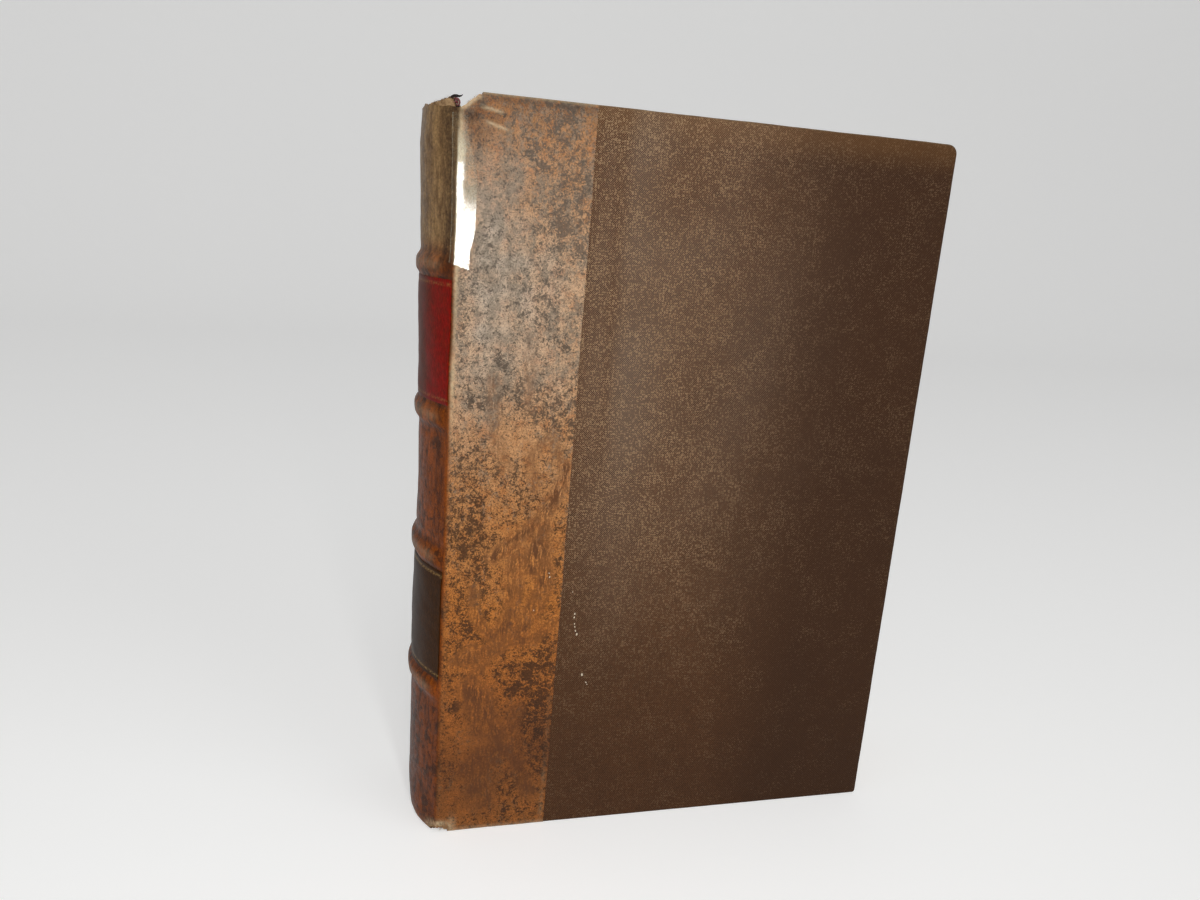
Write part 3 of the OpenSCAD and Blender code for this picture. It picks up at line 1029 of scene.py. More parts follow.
    def dust_and_sheen(self, x: np.ndarray, z: np.ndarray) -> np.ndarray:
        """Pale greyish film: dust with painted sheen, thickest beside the leather towards the head.

        Args:
            x: Distance from the joint, in millimetres.
            z: Height, in millimetres.

        Returns:
            The amount, 0 to 1.
        """
        top = smoothstep(40, 170, z)
        pale = 0.75 * bell(x, 50, 11) * top + 0.45 * bell(x, 75, 30) * top
        pale = pale - 0.45 * bell(x, 45.5, 2.6) * smoothstep(90, 160, z)
        pale = pale * (1 - 0.3 * smoothstep(175, 205, z))
        return np.clip(pale * (0.9 + 0.15 * ripple(x, z, 40, 81)), 0, 1)

    def rubbed(self, x: np.ndarray, z: np.ndarray, y: np.ndarray) -> np.ndarray:
        """Wear along the board's edges.

        Args:
            x: Distance from the joint, in millimetres.
            z: Height, in millimetres.
            y: Depth, in millimetres.

        Returns:
            The amount, 0 to 1.
        """
        book = self.form.book
        worn = 0.75 * bell(z, book.cover_h, 0.3)
        worn = np.maximum(worn, 0.12 * bell(x, book.cover_w, 0.3))
        worn = np.maximum(worn, 0.3 * bell(z, 0, 0.35)) * smoothstep(1.6, 0.2, y)
        return np.clip(worn * (0.75 + 0.25 * ripple(x, z, 18, 82)), 0, 1)


def tidy_mesh(made: bpy.types.Object, apart: float = 2e-7) -> None:
    """Merges points that fall together and drops the faces that this leaves without an area.

    Args:
        made: The object.
        apart: Points closer than this many metres are merged.
    """
    shape = bmesh.new()
    shape.from_mesh(made.data)
    bmesh.ops.remove_doubles(shape, verts=shape.verts, dist=apart)
    bmesh.ops.dissolve_degenerate(shape, edges=shape.edges, dist=apart)
    shape.to_mesh(made.data)
    shape.free()


Socket = bpy.types.NodeSocket
Value = Union[float, tuple, Socket, "Amount"]
Tone = tuple[float, float, float, float]
Look = tuple["Amount", "Amount", Optional["Amount"]]


@dataclass(frozen=True)
class Amount:
    """One output of a node, with which sums can be written."""

    nodes: "Wiring"
    socket: Socket

    def __add__(self, other: Value) -> "Amount":
        """Adds a value."""
        return self.nodes.math("ADD", self, other)

    def __radd__(self, other: Value) -> "Amount":
        """Is added to a value."""
        return self.nodes.math("ADD", other, self)

    def __sub__(self, other: Value) -> "Amount":
        """Takes a value away."""
        return self.nodes.math("SUBTRACT", self, other)

    def __rsub__(self, other: Value) -> "Amount":
        """Is taken away from a value."""
        return self.nodes.math("SUBTRACT", other, self)

    def __mul__(self, other: Value) -> "Amount":
        """Multiplies by a value."""
        return self.nodes.math("MULTIPLY", self, other)

    def __truediv__(self, other: Value) -> "Amount":
        """Divides by a value."""
        return self.nodes.math("DIVIDE", self, other)

    def __abs__(self) -> "Amount":
        """Drops the sign."""
        return self.nodes.math("ABSOLUTE", self)

    def most(self, other: "Amount") -> "Amount":
        """The larger of two amounts."""
        return self.nodes.math("MAXIMUM", self, other)


class Wiring:
    """Short calls that add and join nodes in one tree."""

    def __init__(self, tree: bpy.types.NodeTree) -> None:
        """Keeps the tree."""
        self.tree = tree

    def add(self, kind: str, inputs: Optional[dict] = None, **settings: object) -> bpy.types.Node:
        """Adds a node.

        Args:
            kind: The node's type name.
            inputs: Values or sockets for its inputs, by name or number.
            settings: Values for its properties.

        Returns:
            The node.
        """
        node = self.tree.nodes.new(kind)
        for key, value in settings.items():
            setattr(node, key, value)
        for key, value in (inputs or {}).items():
            self.feed(node.inputs[key], value)
        return node

    def out(self, kind: str, inputs: Optional[dict] = None, output: int | str = 0,
            **settings: object) -> Amount:
        """Adds a node and gives one of its outputs."""
        return Amount(self, self.add(kind, inputs, **settings).outputs[output])

    def feed(self, target: Socket, value: Value) -> None:
        """Joins a socket to an input, or sets the input's own value.

        Args:
            target: The input.
            value: The socket or the value.
        """
        value = getattr(value, "socket", value)
        if isinstance(value, bpy.types.NodeSocket):
            self.tree.links.new(value, target)
        else:
            target.default_value = value

    def math(self, operation: str, a: Value, b: Value = 0.0, clamp: bool = False) -> Amount:
        """One step of arithmetic."""
        return self.out("ShaderNodeMath", {0: a, 1: b}, operation=operation, use_clamp=clamp)

    def spread(self, value: Value, low: float, high: float, to_low: float = 0.0,
               to_high: float = 1.0) -> Amount:
        """Maps low to to_low and high to to_high, smoothly and with no overshoot."""
        return self.out("ShaderNodeMapRange", {0: value, 1: low, 2: high, 3: to_low, 4: to_high},
                        interpolation_type="SMOOTHSTEP")

    def mix(self, share: Value, a: Value, b: Value, blend: str = "MIX") -> Amount:
        """Mixes two colours."""
        return self.out("ShaderNodeMix", {0: share, 6: a, 7: b}, 2, data_type="RGBA", blend_type=blend)

    def veil(self, base: Value, share: Amount, weight: Value, tone: Value) -> Amount:
        """Lays a colour over another one, at most as thickly as weight says."""
        return self.mix(share * weight, base, tone)

    def toned(self, colour: Value, by: Amount) -> Amount:
        """A colour made lighter or darker by a factor."""
        return self.mix(1.0, colour, self.out("ShaderNodeCombineColor", {0: by, 1: by, 2: by}), "MULTIPLY")

    def mottled(self, colour: Value, pattern: Amount, darkest: float, lightest: float) -> Amount:
        """A colour made darker and lighter by a noise."""
        return self.toned(colour, self.spread(pattern, 0.3, 0.7, darkest, lightest))

    def noise(self, place: Amount, scale: float, detail: float = 3.0, rough: float = 0.5,
              distortion: float = 0.0) -> Amount:
        """Smooth noise of 0 to 1."""
        return self.out("ShaderNodeTexNoise", {"Vector": place, "Scale": scale, "Detail": detail,
                                               "Roughness": rough, "Distortion": distortion})

    def cells(self, place: Amount, scale: float) -> Amount:
        """Distance to the nearest of many scattered points."""
        return self.out("ShaderNodeTexVoronoi", {"Vector": place, "Scale": scale})

    def chance(self, low: tuple, high: tuple, seed: Value) -> Amount:
        """A random vector for each point of a geometry tree."""
        return self.out("FunctionNodeRandomValue", {0: low, 1: high, "Seed": seed}, data_type="FLOAT_VECTOR")

    def jitter(self, seed: Value, reach: Value, way: tuple = (1, 1, 1)) -> Amount:
        """A random vector for each point of a geometry tree, with parts of up to way times reach."""
        return self.scaled(self.chance(tuple(-part for part in way), way, seed), reach)

    def ramp(self, share: Value, stops: Sequence[tuple[float, Tone]]) -> Amount:
        """A colour that changes through several stops as share goes from 0 to 1.

        Args:
            share: Where the colour is between the stops.
            stops: Each stop's place and colour.

        Returns:
            The colour.
        """
        node = self.add("ShaderNodeValToRGB", {0: share})
        marks = node.color_ramp.elements
        marks[0].position, marks[0].color = stops[0]
        marks[1].position, marks[1].color = stops[-1]
        for spot, tone in stops[1:-1]:
            marks.new(spot).color = tone
        return Amount(self, node.outputs[0])

    def fleck_cells(self, place: Amount, wide: float, high: float) -> Amount:
        """A random value of 0 to 1 for each cell of a grid, fading towards the cell's rim.

        Args:
            place: The place on the grid.
            wide: Width of a cell.
            high: Height of a cell.

        Returns:
            The value.
        """
        fine = self.stretch(place, (1 / wide, 1 / high, 1.0))
        whole = self.out("ShaderNodeVectorMath", {0: fine}, operation="FLOOR")
        chance = self.out("ShaderNodeTexWhiteNoise", {"Vector": whole}, noise_dimensions="3D")
        inside = self.axes(self.out("ShaderNodeVectorMath", {0: fine}, operation="FRACTION"))
        far = abs(inside[0] - 0.5).most(abs(inside[1] - 0.5))
        return chance * self.spread(far, 0.5, 0.25, 0.6, 1.0)

    def paint(self, name: str) -> Amount:
        """One of the amounts painted on the mesh."""
        return self.out("ShaderNodeAttribute", output="Fac", attribute_name=name)

    def axes(self, vector: Amount) -> tuple[Amount, ...]:
        """The three parts of a vector."""
        return tuple(Amount(self, part) for part in self.add("ShaderNodeSeparateXYZ", {0: vector}).outputs)

    def joined(self, x: Value = 0.0, y: Value = 0.0) -> Amount:
        """A vector made of its first two parts."""
        return self.out("ShaderNodeCombineXYZ", {0: x, 1: y})

    def stretch(self, place: Amount, scale: tuple[float, float, float],
                turn: tuple[float, float, float] = (0, 0, 0)) -> Amount:
        """Scales and turns a pattern's coordinates."""
        return self.out("ShaderNodeMapping", {"Vector": place, "Scale": scale, "Rotation": turn})

    def shifted(self, place: Amount, by: Amount) -> Amount:
        """Coordinates moved by another vector."""
        return self.out("ShaderNodeVectorMath", {0: place, 1: by}, operation="ADD")

    def scaled(self, vector: Amount, by: Value) -> Amount:
        """A vector made longer or shorter."""
        return self.out("ShaderNodeVectorMath", {0: vector, "Scale": by}, operation="SCALE")

    def bent(self, place: Amount, scale: float, detail: float, reach: float) -> Amount:
        """Coordinates pushed about by noise, as far as reach."""
        push = self.out("ShaderNodeTexNoise", {"Vector": place, "Scale": scale, "Detail": detail}, "Color")
        return self.shifted(place, self.scaled(push, reach))


@dataclass(frozen=True)
class Finish:
    """A finish with its gloss, and the bump that its height pattern gives."""

    name: str
    roughness: float = 0.5
    specular: float = 0.5
    sheen: float = 0.0
    bump: float = 0.3
    bump_depth: float = 0.0001

    def colour(self, nodes: Wiring, place: Amount) -> Look:
        """Builds the finish's pattern.

        Args:
            nodes: The material's wiring.
            place: Object coordinates in millimetres.

        Returns:
            The colour, the height, and the roughness where it varies.
        """
        raise NotImplementedError

    def material(self) -> bpy.types.Material:
        """Makes the material.

        Returns:
            The material.
        """
        made, nodes = blank_material(self.name)
        place = nodes.stretch(nodes.out("ShaderNodeTexCoord", output="Object"), (1 / MM, 1 / MM, 1 / MM))
        colour, height, rough = self.colour(nodes, place)
        bump = nodes.out("ShaderNodeBump", {"Strength": self.bump, "Distance": self.bump_depth,
                                            "Height": height})
        shader = nodes.out("ShaderNodeBsdfPrincipled", {
            "Base Color": colour, "Roughness": self.roughness if rough is None else rough,
            "Specular IOR Level": self.specular, "Sheen Weight": self.sheen, "Normal": bump})
        nodes.add("ShaderNodeOutputMaterial", {"Surface": shader}, is_active_output=True)
        made.diffuse_color = (0.5, 0.4, 0.3, 1)
        return made


def blank_material(name: str) -> tuple[bpy.types.Material, Wiring]:
    """A material with an empty tree, and the tree's wiring.

    Args:
        name: The material's name.

    Returns:
        The material and the wiring.
    """
    made = bpy.data.materials.new(name)
    made.use_nodes = True
    made.node_tree.nodes.clear()
    return made, Wiring(made.node_tree)


def srgb(red: float, green: float, blue: float) -> Tone:
    """A colour given as 0 to 255 in each channel, as the linear values that a shader reads."""
    parts = [c / 255 for c in (red, green, blue)]
    return tuple(p / 12.92 if p <= 0.04045 else ((p + 0.055) / 1.055) ** 2.4 for p in parts) + (1.0,)


@dataclass(frozen=True)
class MottledLeather(Finish):
    """Tan calf, sprinkled with stain, washed with grey, streaked with brown and rubbed pale on its edges,
    with painted falloff of light, painted sheen, painted highlights and painted shade in its colour.
    """

    name: str = "mottled_calf"
    # painted falloff and sheen: lighter and greyer towards the upper third, darker and deeper orange towards
    # the tail, along with the leather's own change of tone
    ground_and_falloff: tuple = ((0, srgb(140, 86, 42)), (24, srgb(106, 63, 33)), (52, srgb(160, 96, 44)),
                     (78, srgb(176, 110, 51)), (108, srgb(174, 119, 70)), (130, srgb(178, 132, 90)),
                     (155, srgb(188, 150, 114)), (185, srgb(184, 146, 110)), (208, srgb(166, 120, 80)),
                     (225, srgb(128, 88, 54)))
    rust: Tone = srgb(156, 92, 42)
    slate: Tone = srgb(124, 113, 98)
    umber: Tone = srgb(92, 72, 54)
    ink: Tone = srgb(48, 34, 25)
    slate_ink: Tone = srgb(84, 74, 64)
    bloom_and_sheen: Tone = srgb(178, 166, 150)
    brown: Tone = srgb(86, 54, 34)
    deep_brown: Tone = srgb(66, 30, 6)
    spine_tan: Tone = srgb(138, 66, 6)
    spine_dark: Tone = srgb(48, 24, 6)
    spine_grey: Tone = srgb(150, 122, 82)
    spine_umber: Tone = srgb(116, 90, 60)
    pale: Tone = srgb(212, 192, 154)
    dirt_and_shade_tone: Tone = srgb(40, 27, 21)
    drift: float = 40.0
    washed_share: float = 0.625
    specked_share: float = 0.61
    top_panel: tuple[float, float] = (178, 188)
    specular: float = 0.1
    bump: float = 0.45
    bump_depth: float = 0.00012

    def colour(self, nodes: Wiring, place: Amount) -> Look:
        """Builds the mottling from the painted amounts and several sizes of noise.

        Args:
            nodes: The wiring of the material's tree.
            place: The place on the object, in millimetres.

        Returns:
            The colour, the height and the roughness, None where the finish's own stays.
        """
        height = nodes.axes(place)[2]
        bent = nodes.bent(place, 0.45, 2.0, 1.4)
        fine = nodes.noise(place, 1.5, 4, 0.7)
        specks = self.specks(nodes, bent)
        shade = nodes.mix(nodes.spread(height, 100, 190), self.ink, self.slate_ink)
        base = self.washed_ground(nodes, place, bent, fine)
        base = nodes.veil(base, specks, 0.86, nodes.mottled(shade, fine, 0.72, 1.3))
        base = self.smoked(nodes, bent, fine, base)
        base = nodes.mix(nodes.paint("strip"), self.spine(nodes, place, bent, fine), base)

        scuff = nodes.noise(place, 0.9, 4, 0.7)
        # pale where rubbed, and painted highlights on the joint's ridge, the head creases and the tail corner
        rubbed = nodes.paint("worn") * nodes.spread(scuff, 0.25, 0.6, 0.3, 1.0)
        base = nodes.veil(base, rubbed, 0.75, self.pale)
        # dark paint: dirt, with painted shade beside the joint and on the spine
        soiled_and_shaded = nodes.paint("grime_and_shade") * nodes.spread(scuff, 0.75, 0.3, 0.45, 1.0)
        base = nodes.veil(base, soiled_and_shaded, 0.85, self.dirt_and_shade_tone)
        relief = nodes.cells(place, 2.4) * 0.4 + nodes.noise(place, 5.0, 2, 0.5) * 0.35 - specks * 0.25
        rough = nodes.spread(nodes.noise(place, 0.7, 4, 0.6), 0.3, 0.7, 0.34, 0.52) + rubbed * -0.08
        return base, relief, rough

    def washed_ground(self, nodes: Wiring, place: Amount, bent: Amount, fine: Amount) -> Amount:
        """The tan base tone, which changes from tail to head partly as painted falloff of light, with the
        pale veil of painted sheen and the grey wash, made thicker high up as painted sheen.

        Args:
            nodes: The wiring of the material's tree.
            place: The place on the object, in millimetres.
            bent: The same place, bent by noise.
            fine: A fine noise.

        Returns:
            The colour.
        """
        climb = nodes.axes(place)[2] + (nodes.noise(place, 0.07, 3) - 0.5) * self.drift
        top = self.ground_and_falloff[-1][0]
        base = nodes.ramp(climb / top, [(spot / top, tone) for spot, tone in self.ground_and_falloff])
        base = nodes.veil(base, nodes.spread(nodes.noise(bent, 0.32, 4, 0.6), 0.47, 0.66), 0.45, self.rust)
        base = nodes.mottled(base, fine, 0.73, 1.32)
        # pale veil: partly a film on the leather, partly painted sheen
        base = nodes.veil(base, nodes.paint("bloom_and_sheen"), 0.75, self.bloom_and_sheen)
        islands = nodes.noise(nodes.stretch(bent, (1.25, 1.0, 0.6)), 0.27, 3, 0.55)
        cloud = islands * 0.46 + nodes.noise(bent, 1.05, 5, 0.7) * 0.54
        # grey wash in patches, thicker and greyer higher up as painted sheen
        wash = nodes.spread(cloud - (self.washed_share - nodes.paint("grey") * 0.16), -0.07, 0.10)
        tone = nodes.mix(nodes.spread(climb, 60, 130), self.umber, self.slate)
        return nodes.veil(base, wash, 0.74, nodes.mottled(tone, fine, 0.84, 1.14))

    def specks(self, nodes: Wiring, bent: Amount) -> Amount:
        """The drops of dark stain: specks, finer pepper and curled lines, left out where smoke runs.

        Args:
            nodes: The wiring of the material's tree.
            bent: The same place, bent by noise.

        Returns:
            The amount.
        """
        speck = nodes.paint("speck")
        clumps = nodes.noise(bent, 0.42, 2, 0.5)
        dots = clumps * 0.38 + nodes.noise(bent, 1.5, 3, 0.65, 0.3) * 0.62
        limit = self.specked_share - (speck * 0.15 + nodes.paint("ink") * 0.125)
        specks = nodes.spread(dots - limit, -0.015, 0.055)
        pepper = nodes.spread(nodes.noise(bent, 2.7, 2, 0.5) + speck * 0.10, 0.585, 0.67)
        specks = specks.most(pepper * 0.72)
        curls = nodes.spread(abs(nodes.noise(bent, 0.95, 2, 0.5) - 0.5), 0.075, 0.03)
        curls = curls * nodes.spread(clumps, 0.44, 0.56) * nodes.spread(speck, 0.3, 0.8, 0.15, 0.62)
        return specks.most(curls) * nodes.math("SUBTRACT", 1.0, nodes.paint("smoke") * 0.95, clamp=True)

    def smoked(self, nodes: Wiring, bent: Amount, fine: Amount, base: Amount) -> Amount:
        """Lays the brown strokes over a colour, with strands that follow them.

        Args:
            nodes: The wiring of the material's tree.
            bent: The place, bent by noise.
            fine: A fine noise.
            base: The colour below.

        Returns:
            The colour with its strokes.
        """
        flow = nodes.joined(nodes.paint("flow_across") * 0.8, nodes.paint("flow_along") * 0.2)
        strands = nodes.noise(nodes.stretch(bent, (1.5, 1.0, 0.22), (0.0, 0.35, 0.0)), 1.0, 4, 0.62, 0.4)
        streaks = nodes.noise(flow, 1.0, 3, 0.6, 0.5) * 0.35 + strands * 0.65
        stroke = nodes.mix(nodes.spread(streaks, 0.46, 0.62), self.brown,
                           nodes.mottled(base, fine, 0.80, 1.18))
        return nodes.veil(base, nodes.paint("smoke"), 0.92, stroke)

    def spine(self, nodes: Wiring, place: Amount, bent: Amount, fine: Amount) -> Amount:
        """The colour of the spine: browned, stained, and grey in its uppermost panel.

        Args:
            nodes: The wiring of the material's tree.
            place: The place on the object, in millimetres.
            bent: The same place, bent by noise.
            fine: A fine noise.

        Returns:
            The colour.
        """
        height = nodes.axes(place)[2]
        mixed = nodes.noise(nodes.stretch(place, (0.8, 0.8, 0.2)), 0.6, 5, 0.65, 0.5)
        mixed = nodes.spread(mixed, 0.36, 0.64)
        base = nodes.veil(self.spine_tan, mixed, 0.8, self.deep_brown)
        upper = nodes.mix(mixed, self.spine_grey, self.spine_umber)
        base = nodes.veil(base, nodes.spread(height, *self.top_panel), 0.88, upper)
        stains = nodes.spread(nodes.noise(bent, 0.33, 4, 0.6), 0.5, 0.64)
        base = nodes.veil(base, stains, nodes.spread(height, *self.top_panel, 0.75, 0.3), self.spine_dark)
        return nodes.toned(nodes.mottled(base, fine, 0.72, 1.38), nodes.spread(height, 52, 40, 1.0, 0.74))


@dataclass(frozen=True)
class BookCloth(Finish):
    """Dark brown cloth in a fine plain weave, with pale flecks where its threads are rubbed and painted
    glints, and painted falloff that darkens it to the right and below.
    """

    name: str = "book_cloth"
    thread: Tone = srgb(122, 79, 46)
    valley: Tone = srgb(48, 30, 20)
    fleck: Tone = srgb(168, 138, 104)
    dust_and_sheen_tone: Tone = srgb(128, 112, 98)
    red_brown: Tone = srgb(54, 32, 18)
    golden: Tone = srgb(116, 80, 44)
    worn_edge: Tone = srgb(168, 142, 108)
    pitch: float = 0.62
    fleck_size: float = 0.40
    fleck_shapes: tuple = ((1.0, 1.1), (2.1, 0.8), (0.8, 1.8))
    roughness: float = 0.62
    specular: float = 0.1
    bump: float = 0.7
    bump_depth: float = 0.00011

    def colour(self, nodes: Wiring, place: Amount) -> Look:
        """Builds the weave from two crossed rows of threads, some of them pale where they cross: rubbed, and
        painted glints that fade to the right and below.

        Args:
            nodes: The wiring of the material's tree.
            place: The place on the object, in millimetres.

        Returns:
            The colour, the height and the roughness, None where the finish's own stays.
        """
        x, y, z = nodes.axes(nodes.bent(place, 0.35, 3.0, 0.09))
        over_edge = nodes.paint("over")
        across, upward = x + y - over_edge, z + over_edge
        turn = 2 * math.pi / self.pitch
        warp, weft = (nodes.math("SINE", way * turn) for way in (across, upward))
        crossed = warp * weft
        weave = crossed * 0.3 + abs(warp).most(abs(weft)) * 0.6

        sheet = nodes.joined(across, upward)
        right, low = nodes.spread(x, -12, 50), nodes.spread(z, 120, 20)
        slubs, slubs_up = (nodes.noise(nodes.stretch(sheet, (*way, 1)), 1.0, 3, 0.65)
                           for way in ((0.3, 2.8), (2.8, 0.3)))
        base = nodes.mix(nodes.spread(weave, 0.2, 0.95), self.valley, self.thread)
        base = nodes.toned(base, nodes.spread(slubs + slubs_up, 0.8, 1.2, 0.76, 1.24))
        # painted falloff of light: darker and redder to the right and below
        base = nodes.veil(base, right.most(low * 0.5), 0.84, self.red_brown)
        base = nodes.veil(base, nodes.spread(z, 214, 224), 0.4, self.golden)
        base = nodes.veil(base, nodes.spread(nodes.noise(place, 0.035, 4, 0.6), 0.4, 0.65), 0.15, self.valley)
        # pale greyish film on the thread crossings: dust and painted sheen
        base = nodes.veil(base, nodes.paint("dust_and_sheen"), nodes.spread(crossed, -0.2, 0.7, 0.28, 0.85), self.dust_and_sheen_tone)

        # painted glints on the threads, fading to the right and below as painted falloff of light
        strength = 0.60 - right.most(low) * 0.40
        base = nodes.veil(base, nodes.spread(crossed, 0.3, 0.9) * strength, 0.62, self.fleck)
        base = nodes.toned(base, nodes.spread(crossed, 0.1, -0.8, 1.0, 0.66))
        base = nodes.veil(base, self.flecks(nodes, place, sheet, right, low), strength, self.fleck)
        base = nodes.veil(base, nodes.paint("rubbed"), 0.55, self.worn_edge)
        return base, weave + slubs * 0.4, None

    def flecks(self, nodes: Wiring, place: Amount, sheet: Amount, right: Amount, low: Amount) -> Amount:
        """The pale crossings and threads, rubbed and painted as glints, in patches, and fewer to the right
        and below as painted falloff of light.

        Args:
            nodes: The wiring of the material's tree.
            place: The place on the object, in millimetres.
            sheet: The place on the cloth's sheet.
            right: How far to the right.
            low: How far down.

        Returns:
            The amount.
        """
        dots, dashes, uprights = (nodes.fleck_cells(sheet, self.fleck_size * wide, self.fleck_size * high)
                                  for wide, high in self.fleck_shapes)
        patchy = nodes.spread(nodes.noise(place, 0.12, 4, 0.6), 0.3, 0.7, 0.0, 0.12)
        limit = 0.80 + (right * 0.06 + low * 0.08 - patchy)
        return nodes.spread(dots.most(dashes.most(uprights)) - limit, 0.0, 0.22)


@dataclass(frozen=True)
class Paper(Finish):
    """Aged paper or card with soft brown spots and fibres."""

    name: str = "endpaper"
    clean: Tone = srgb(214, 196, 158)
    aged: Tone = srgb(176, 148, 104)
    spot: Tone = srgb(138, 100, 62)
    leaf_lines: float = 0.0
    toning: float = 0.4
    finer: float = 1.0
    roughness: float = 0.8
    specular: float = 0.25

    def colour(self, nodes: Wiring, place: Amount) -> Look:
        """Builds the toning, the spots and, on page edges, the lines between the leaves.

        Args:
            nodes: The wiring of the material's tree.
            place: The place on the object, in millimetres.

        Returns:
            The colour, the height and the roughness, None where the finish's own stays.
        """
        toned = nodes.spread(nodes.noise(place, 0.03 * self.finer, 5, 0.6), 0.35, 0.7)
        spots = nodes.spread(nodes.noise(place, 0.22 * self.finer, 3, 0.6), 0.66, 0.76)
        base = nodes.veil(nodes.veil(self.clean, toned, self.toning, self.aged), spots, 0.4, self.spot)
        height = nodes.noise(place, 3.5, 4, 0.6)
        if self.leaf_lines:
            lines = nodes.noise(nodes.stretch(place, (0.05, 9.0, 0.05)), 1.0, 3, 0.7)
            base = nodes.veil(base, nodes.spread(lines, 0.62, 0.36), self.leaf_lines, self.spot)
            height = lines * 1.5 + height
        return base, height, None


@dataclass(frozen=True)
class Silk(Finish):
    """Silk thread wound round a cord, in one colour."""

    name: str = "red_silk"
    thread: Tone = srgb(142, 34, 36)
    shade: Tone = srgb(84, 18, 22)
    roughness: float = 0.45
    sheen: float = 0.4

    def colour(self, nodes: Wiring, place: Amount) -> Look:
        """Builds fine strands with faded patches."""
        strands = nodes.noise(nodes.stretch(place, (4, 4, 14)), 1.0, 3, 0.6)
        return nodes.mix(nodes.spread(strands, 0.35, 0.65), self.shade, self.thread), strands, None


@dataclass(frozen=True)
class LabelLeather(Finish):
    """Thin polished label leather, rubbed at its edges, with a rolled gilt fillet above and below."""

    name: str = "red_label_leather"
    skin: Tone = srgb(122, 16, 8)
    dull: Tone = srgb(76, 32, 12)
    gilt: Tone = srgb(158, 116, 62)
    gilt_amount: float = 0.45
    roughness: float = 0.42
    specular: float = 0.07

    def colour(self, nodes: Wiring, place: Amount) -> Look:
        """Builds the grain, the browned stretch round the spine's back with painted sheen over it, and the
        worn gilt lines.

        Args:
            nodes: The wiring of the material's tree.
            place: The place on the object, in millimetres.

        Returns:
            The colour, the height and the roughness, None where the finish's own stays.
        """
        fillet = nodes.paint("fillet")
        patches = nodes.spread(nodes.noise(place, 0.5, 4, 0.6), 0.4, 0.65)
        base = nodes.veil(self.skin, patches, 0.35, self.dull)
        # browned stretch, partly painted sheen where the spine turns away
        base = nodes.veil(base, nodes.paint("faded_and_sheen"), 0.8, self.dull)
        rubbed = nodes.spread(nodes.noise(place, 1.6, 4, 0.7), 0.42, 0.58)
        base = nodes.veil(base, fillet, rubbed * self.gilt_amount, self.gilt)
        grain = nodes.noise(nodes.stretch(place, (1.0, 1.0, 0.3)), 2.4, 4, 0.7)
        base = nodes.mottled(base, grain, 0.62, 1.45)
        return base, nodes.cells(place, 2.2) - fillet * 0.8, None


@dataclass(frozen=True)
class ClearTape(Finish):
    """Old clear tape: glossy, a little yellow and slightly wavy."""

    name: str = "clear_tape"
    film: Tone = srgb(226, 214, 180)
    glue: Tone = srgb(150, 120, 80)
    specular: float = 1.0
    bump: float = 0.06
    bump_depth: float = 0.0002

    def colour(self, nodes: Wiring, place: Amount) -> Look:
        """Builds the specks of glue and the waves of the film.

        Args:
            nodes: The wiring of the material's tree.
            place: The place on the object, in millimetres.

        Returns:
            The colour, the height and the roughness, None where the finish's own stays.
        """
        dirty = nodes.spread(nodes.noise(nodes.stretch(place, (1.5, 1.0, 0.7)), 1.3, 4, 0.7), 0.53, 0.66)
        waves = nodes.noise(nodes.stretch(place, (0.6, 0.6, 0.25)), 0.8, 2, 0.5)
        rough = 0.10 + (dirty * 0.3).most(nodes.paint("dull") * 0.42)
        return nodes.veil(self.film, dirty, 0.5, self.glue), waves, rough

    def material(self) -> bpy.types.Material:
        """Makes the material, which lets most of the leather under it show.

        Returns:
            The material.
        """
        made = super().material()
        nodes = Wiring(made.node_tree)
        shader = next(n for n in made.node_tree.nodes if n.type == "BSDF_PRINCIPLED")
        place = nodes.out("ShaderNodeTexCoord", output="Object")
        cloud = nodes.noise(nodes.stretch(place, (1 / MM, 1 / MM, 0.3 / MM)), 0.7, 3, 0.6)
        flakes = nodes.noise(nodes.stretch(place, (1 / MM, 1 / MM, 0.6 / MM)), 1.7, 4, 0.7)
        film = nodes.spread(cloud, 0.3, 0.7, 0.30, 0.46) * nodes.spread(flakes, 0.3, 0.7, 0.72, 1.3)
        nodes.feed(shader.inputs["Alpha"], film * nodes.paint("stuck"))
        return made


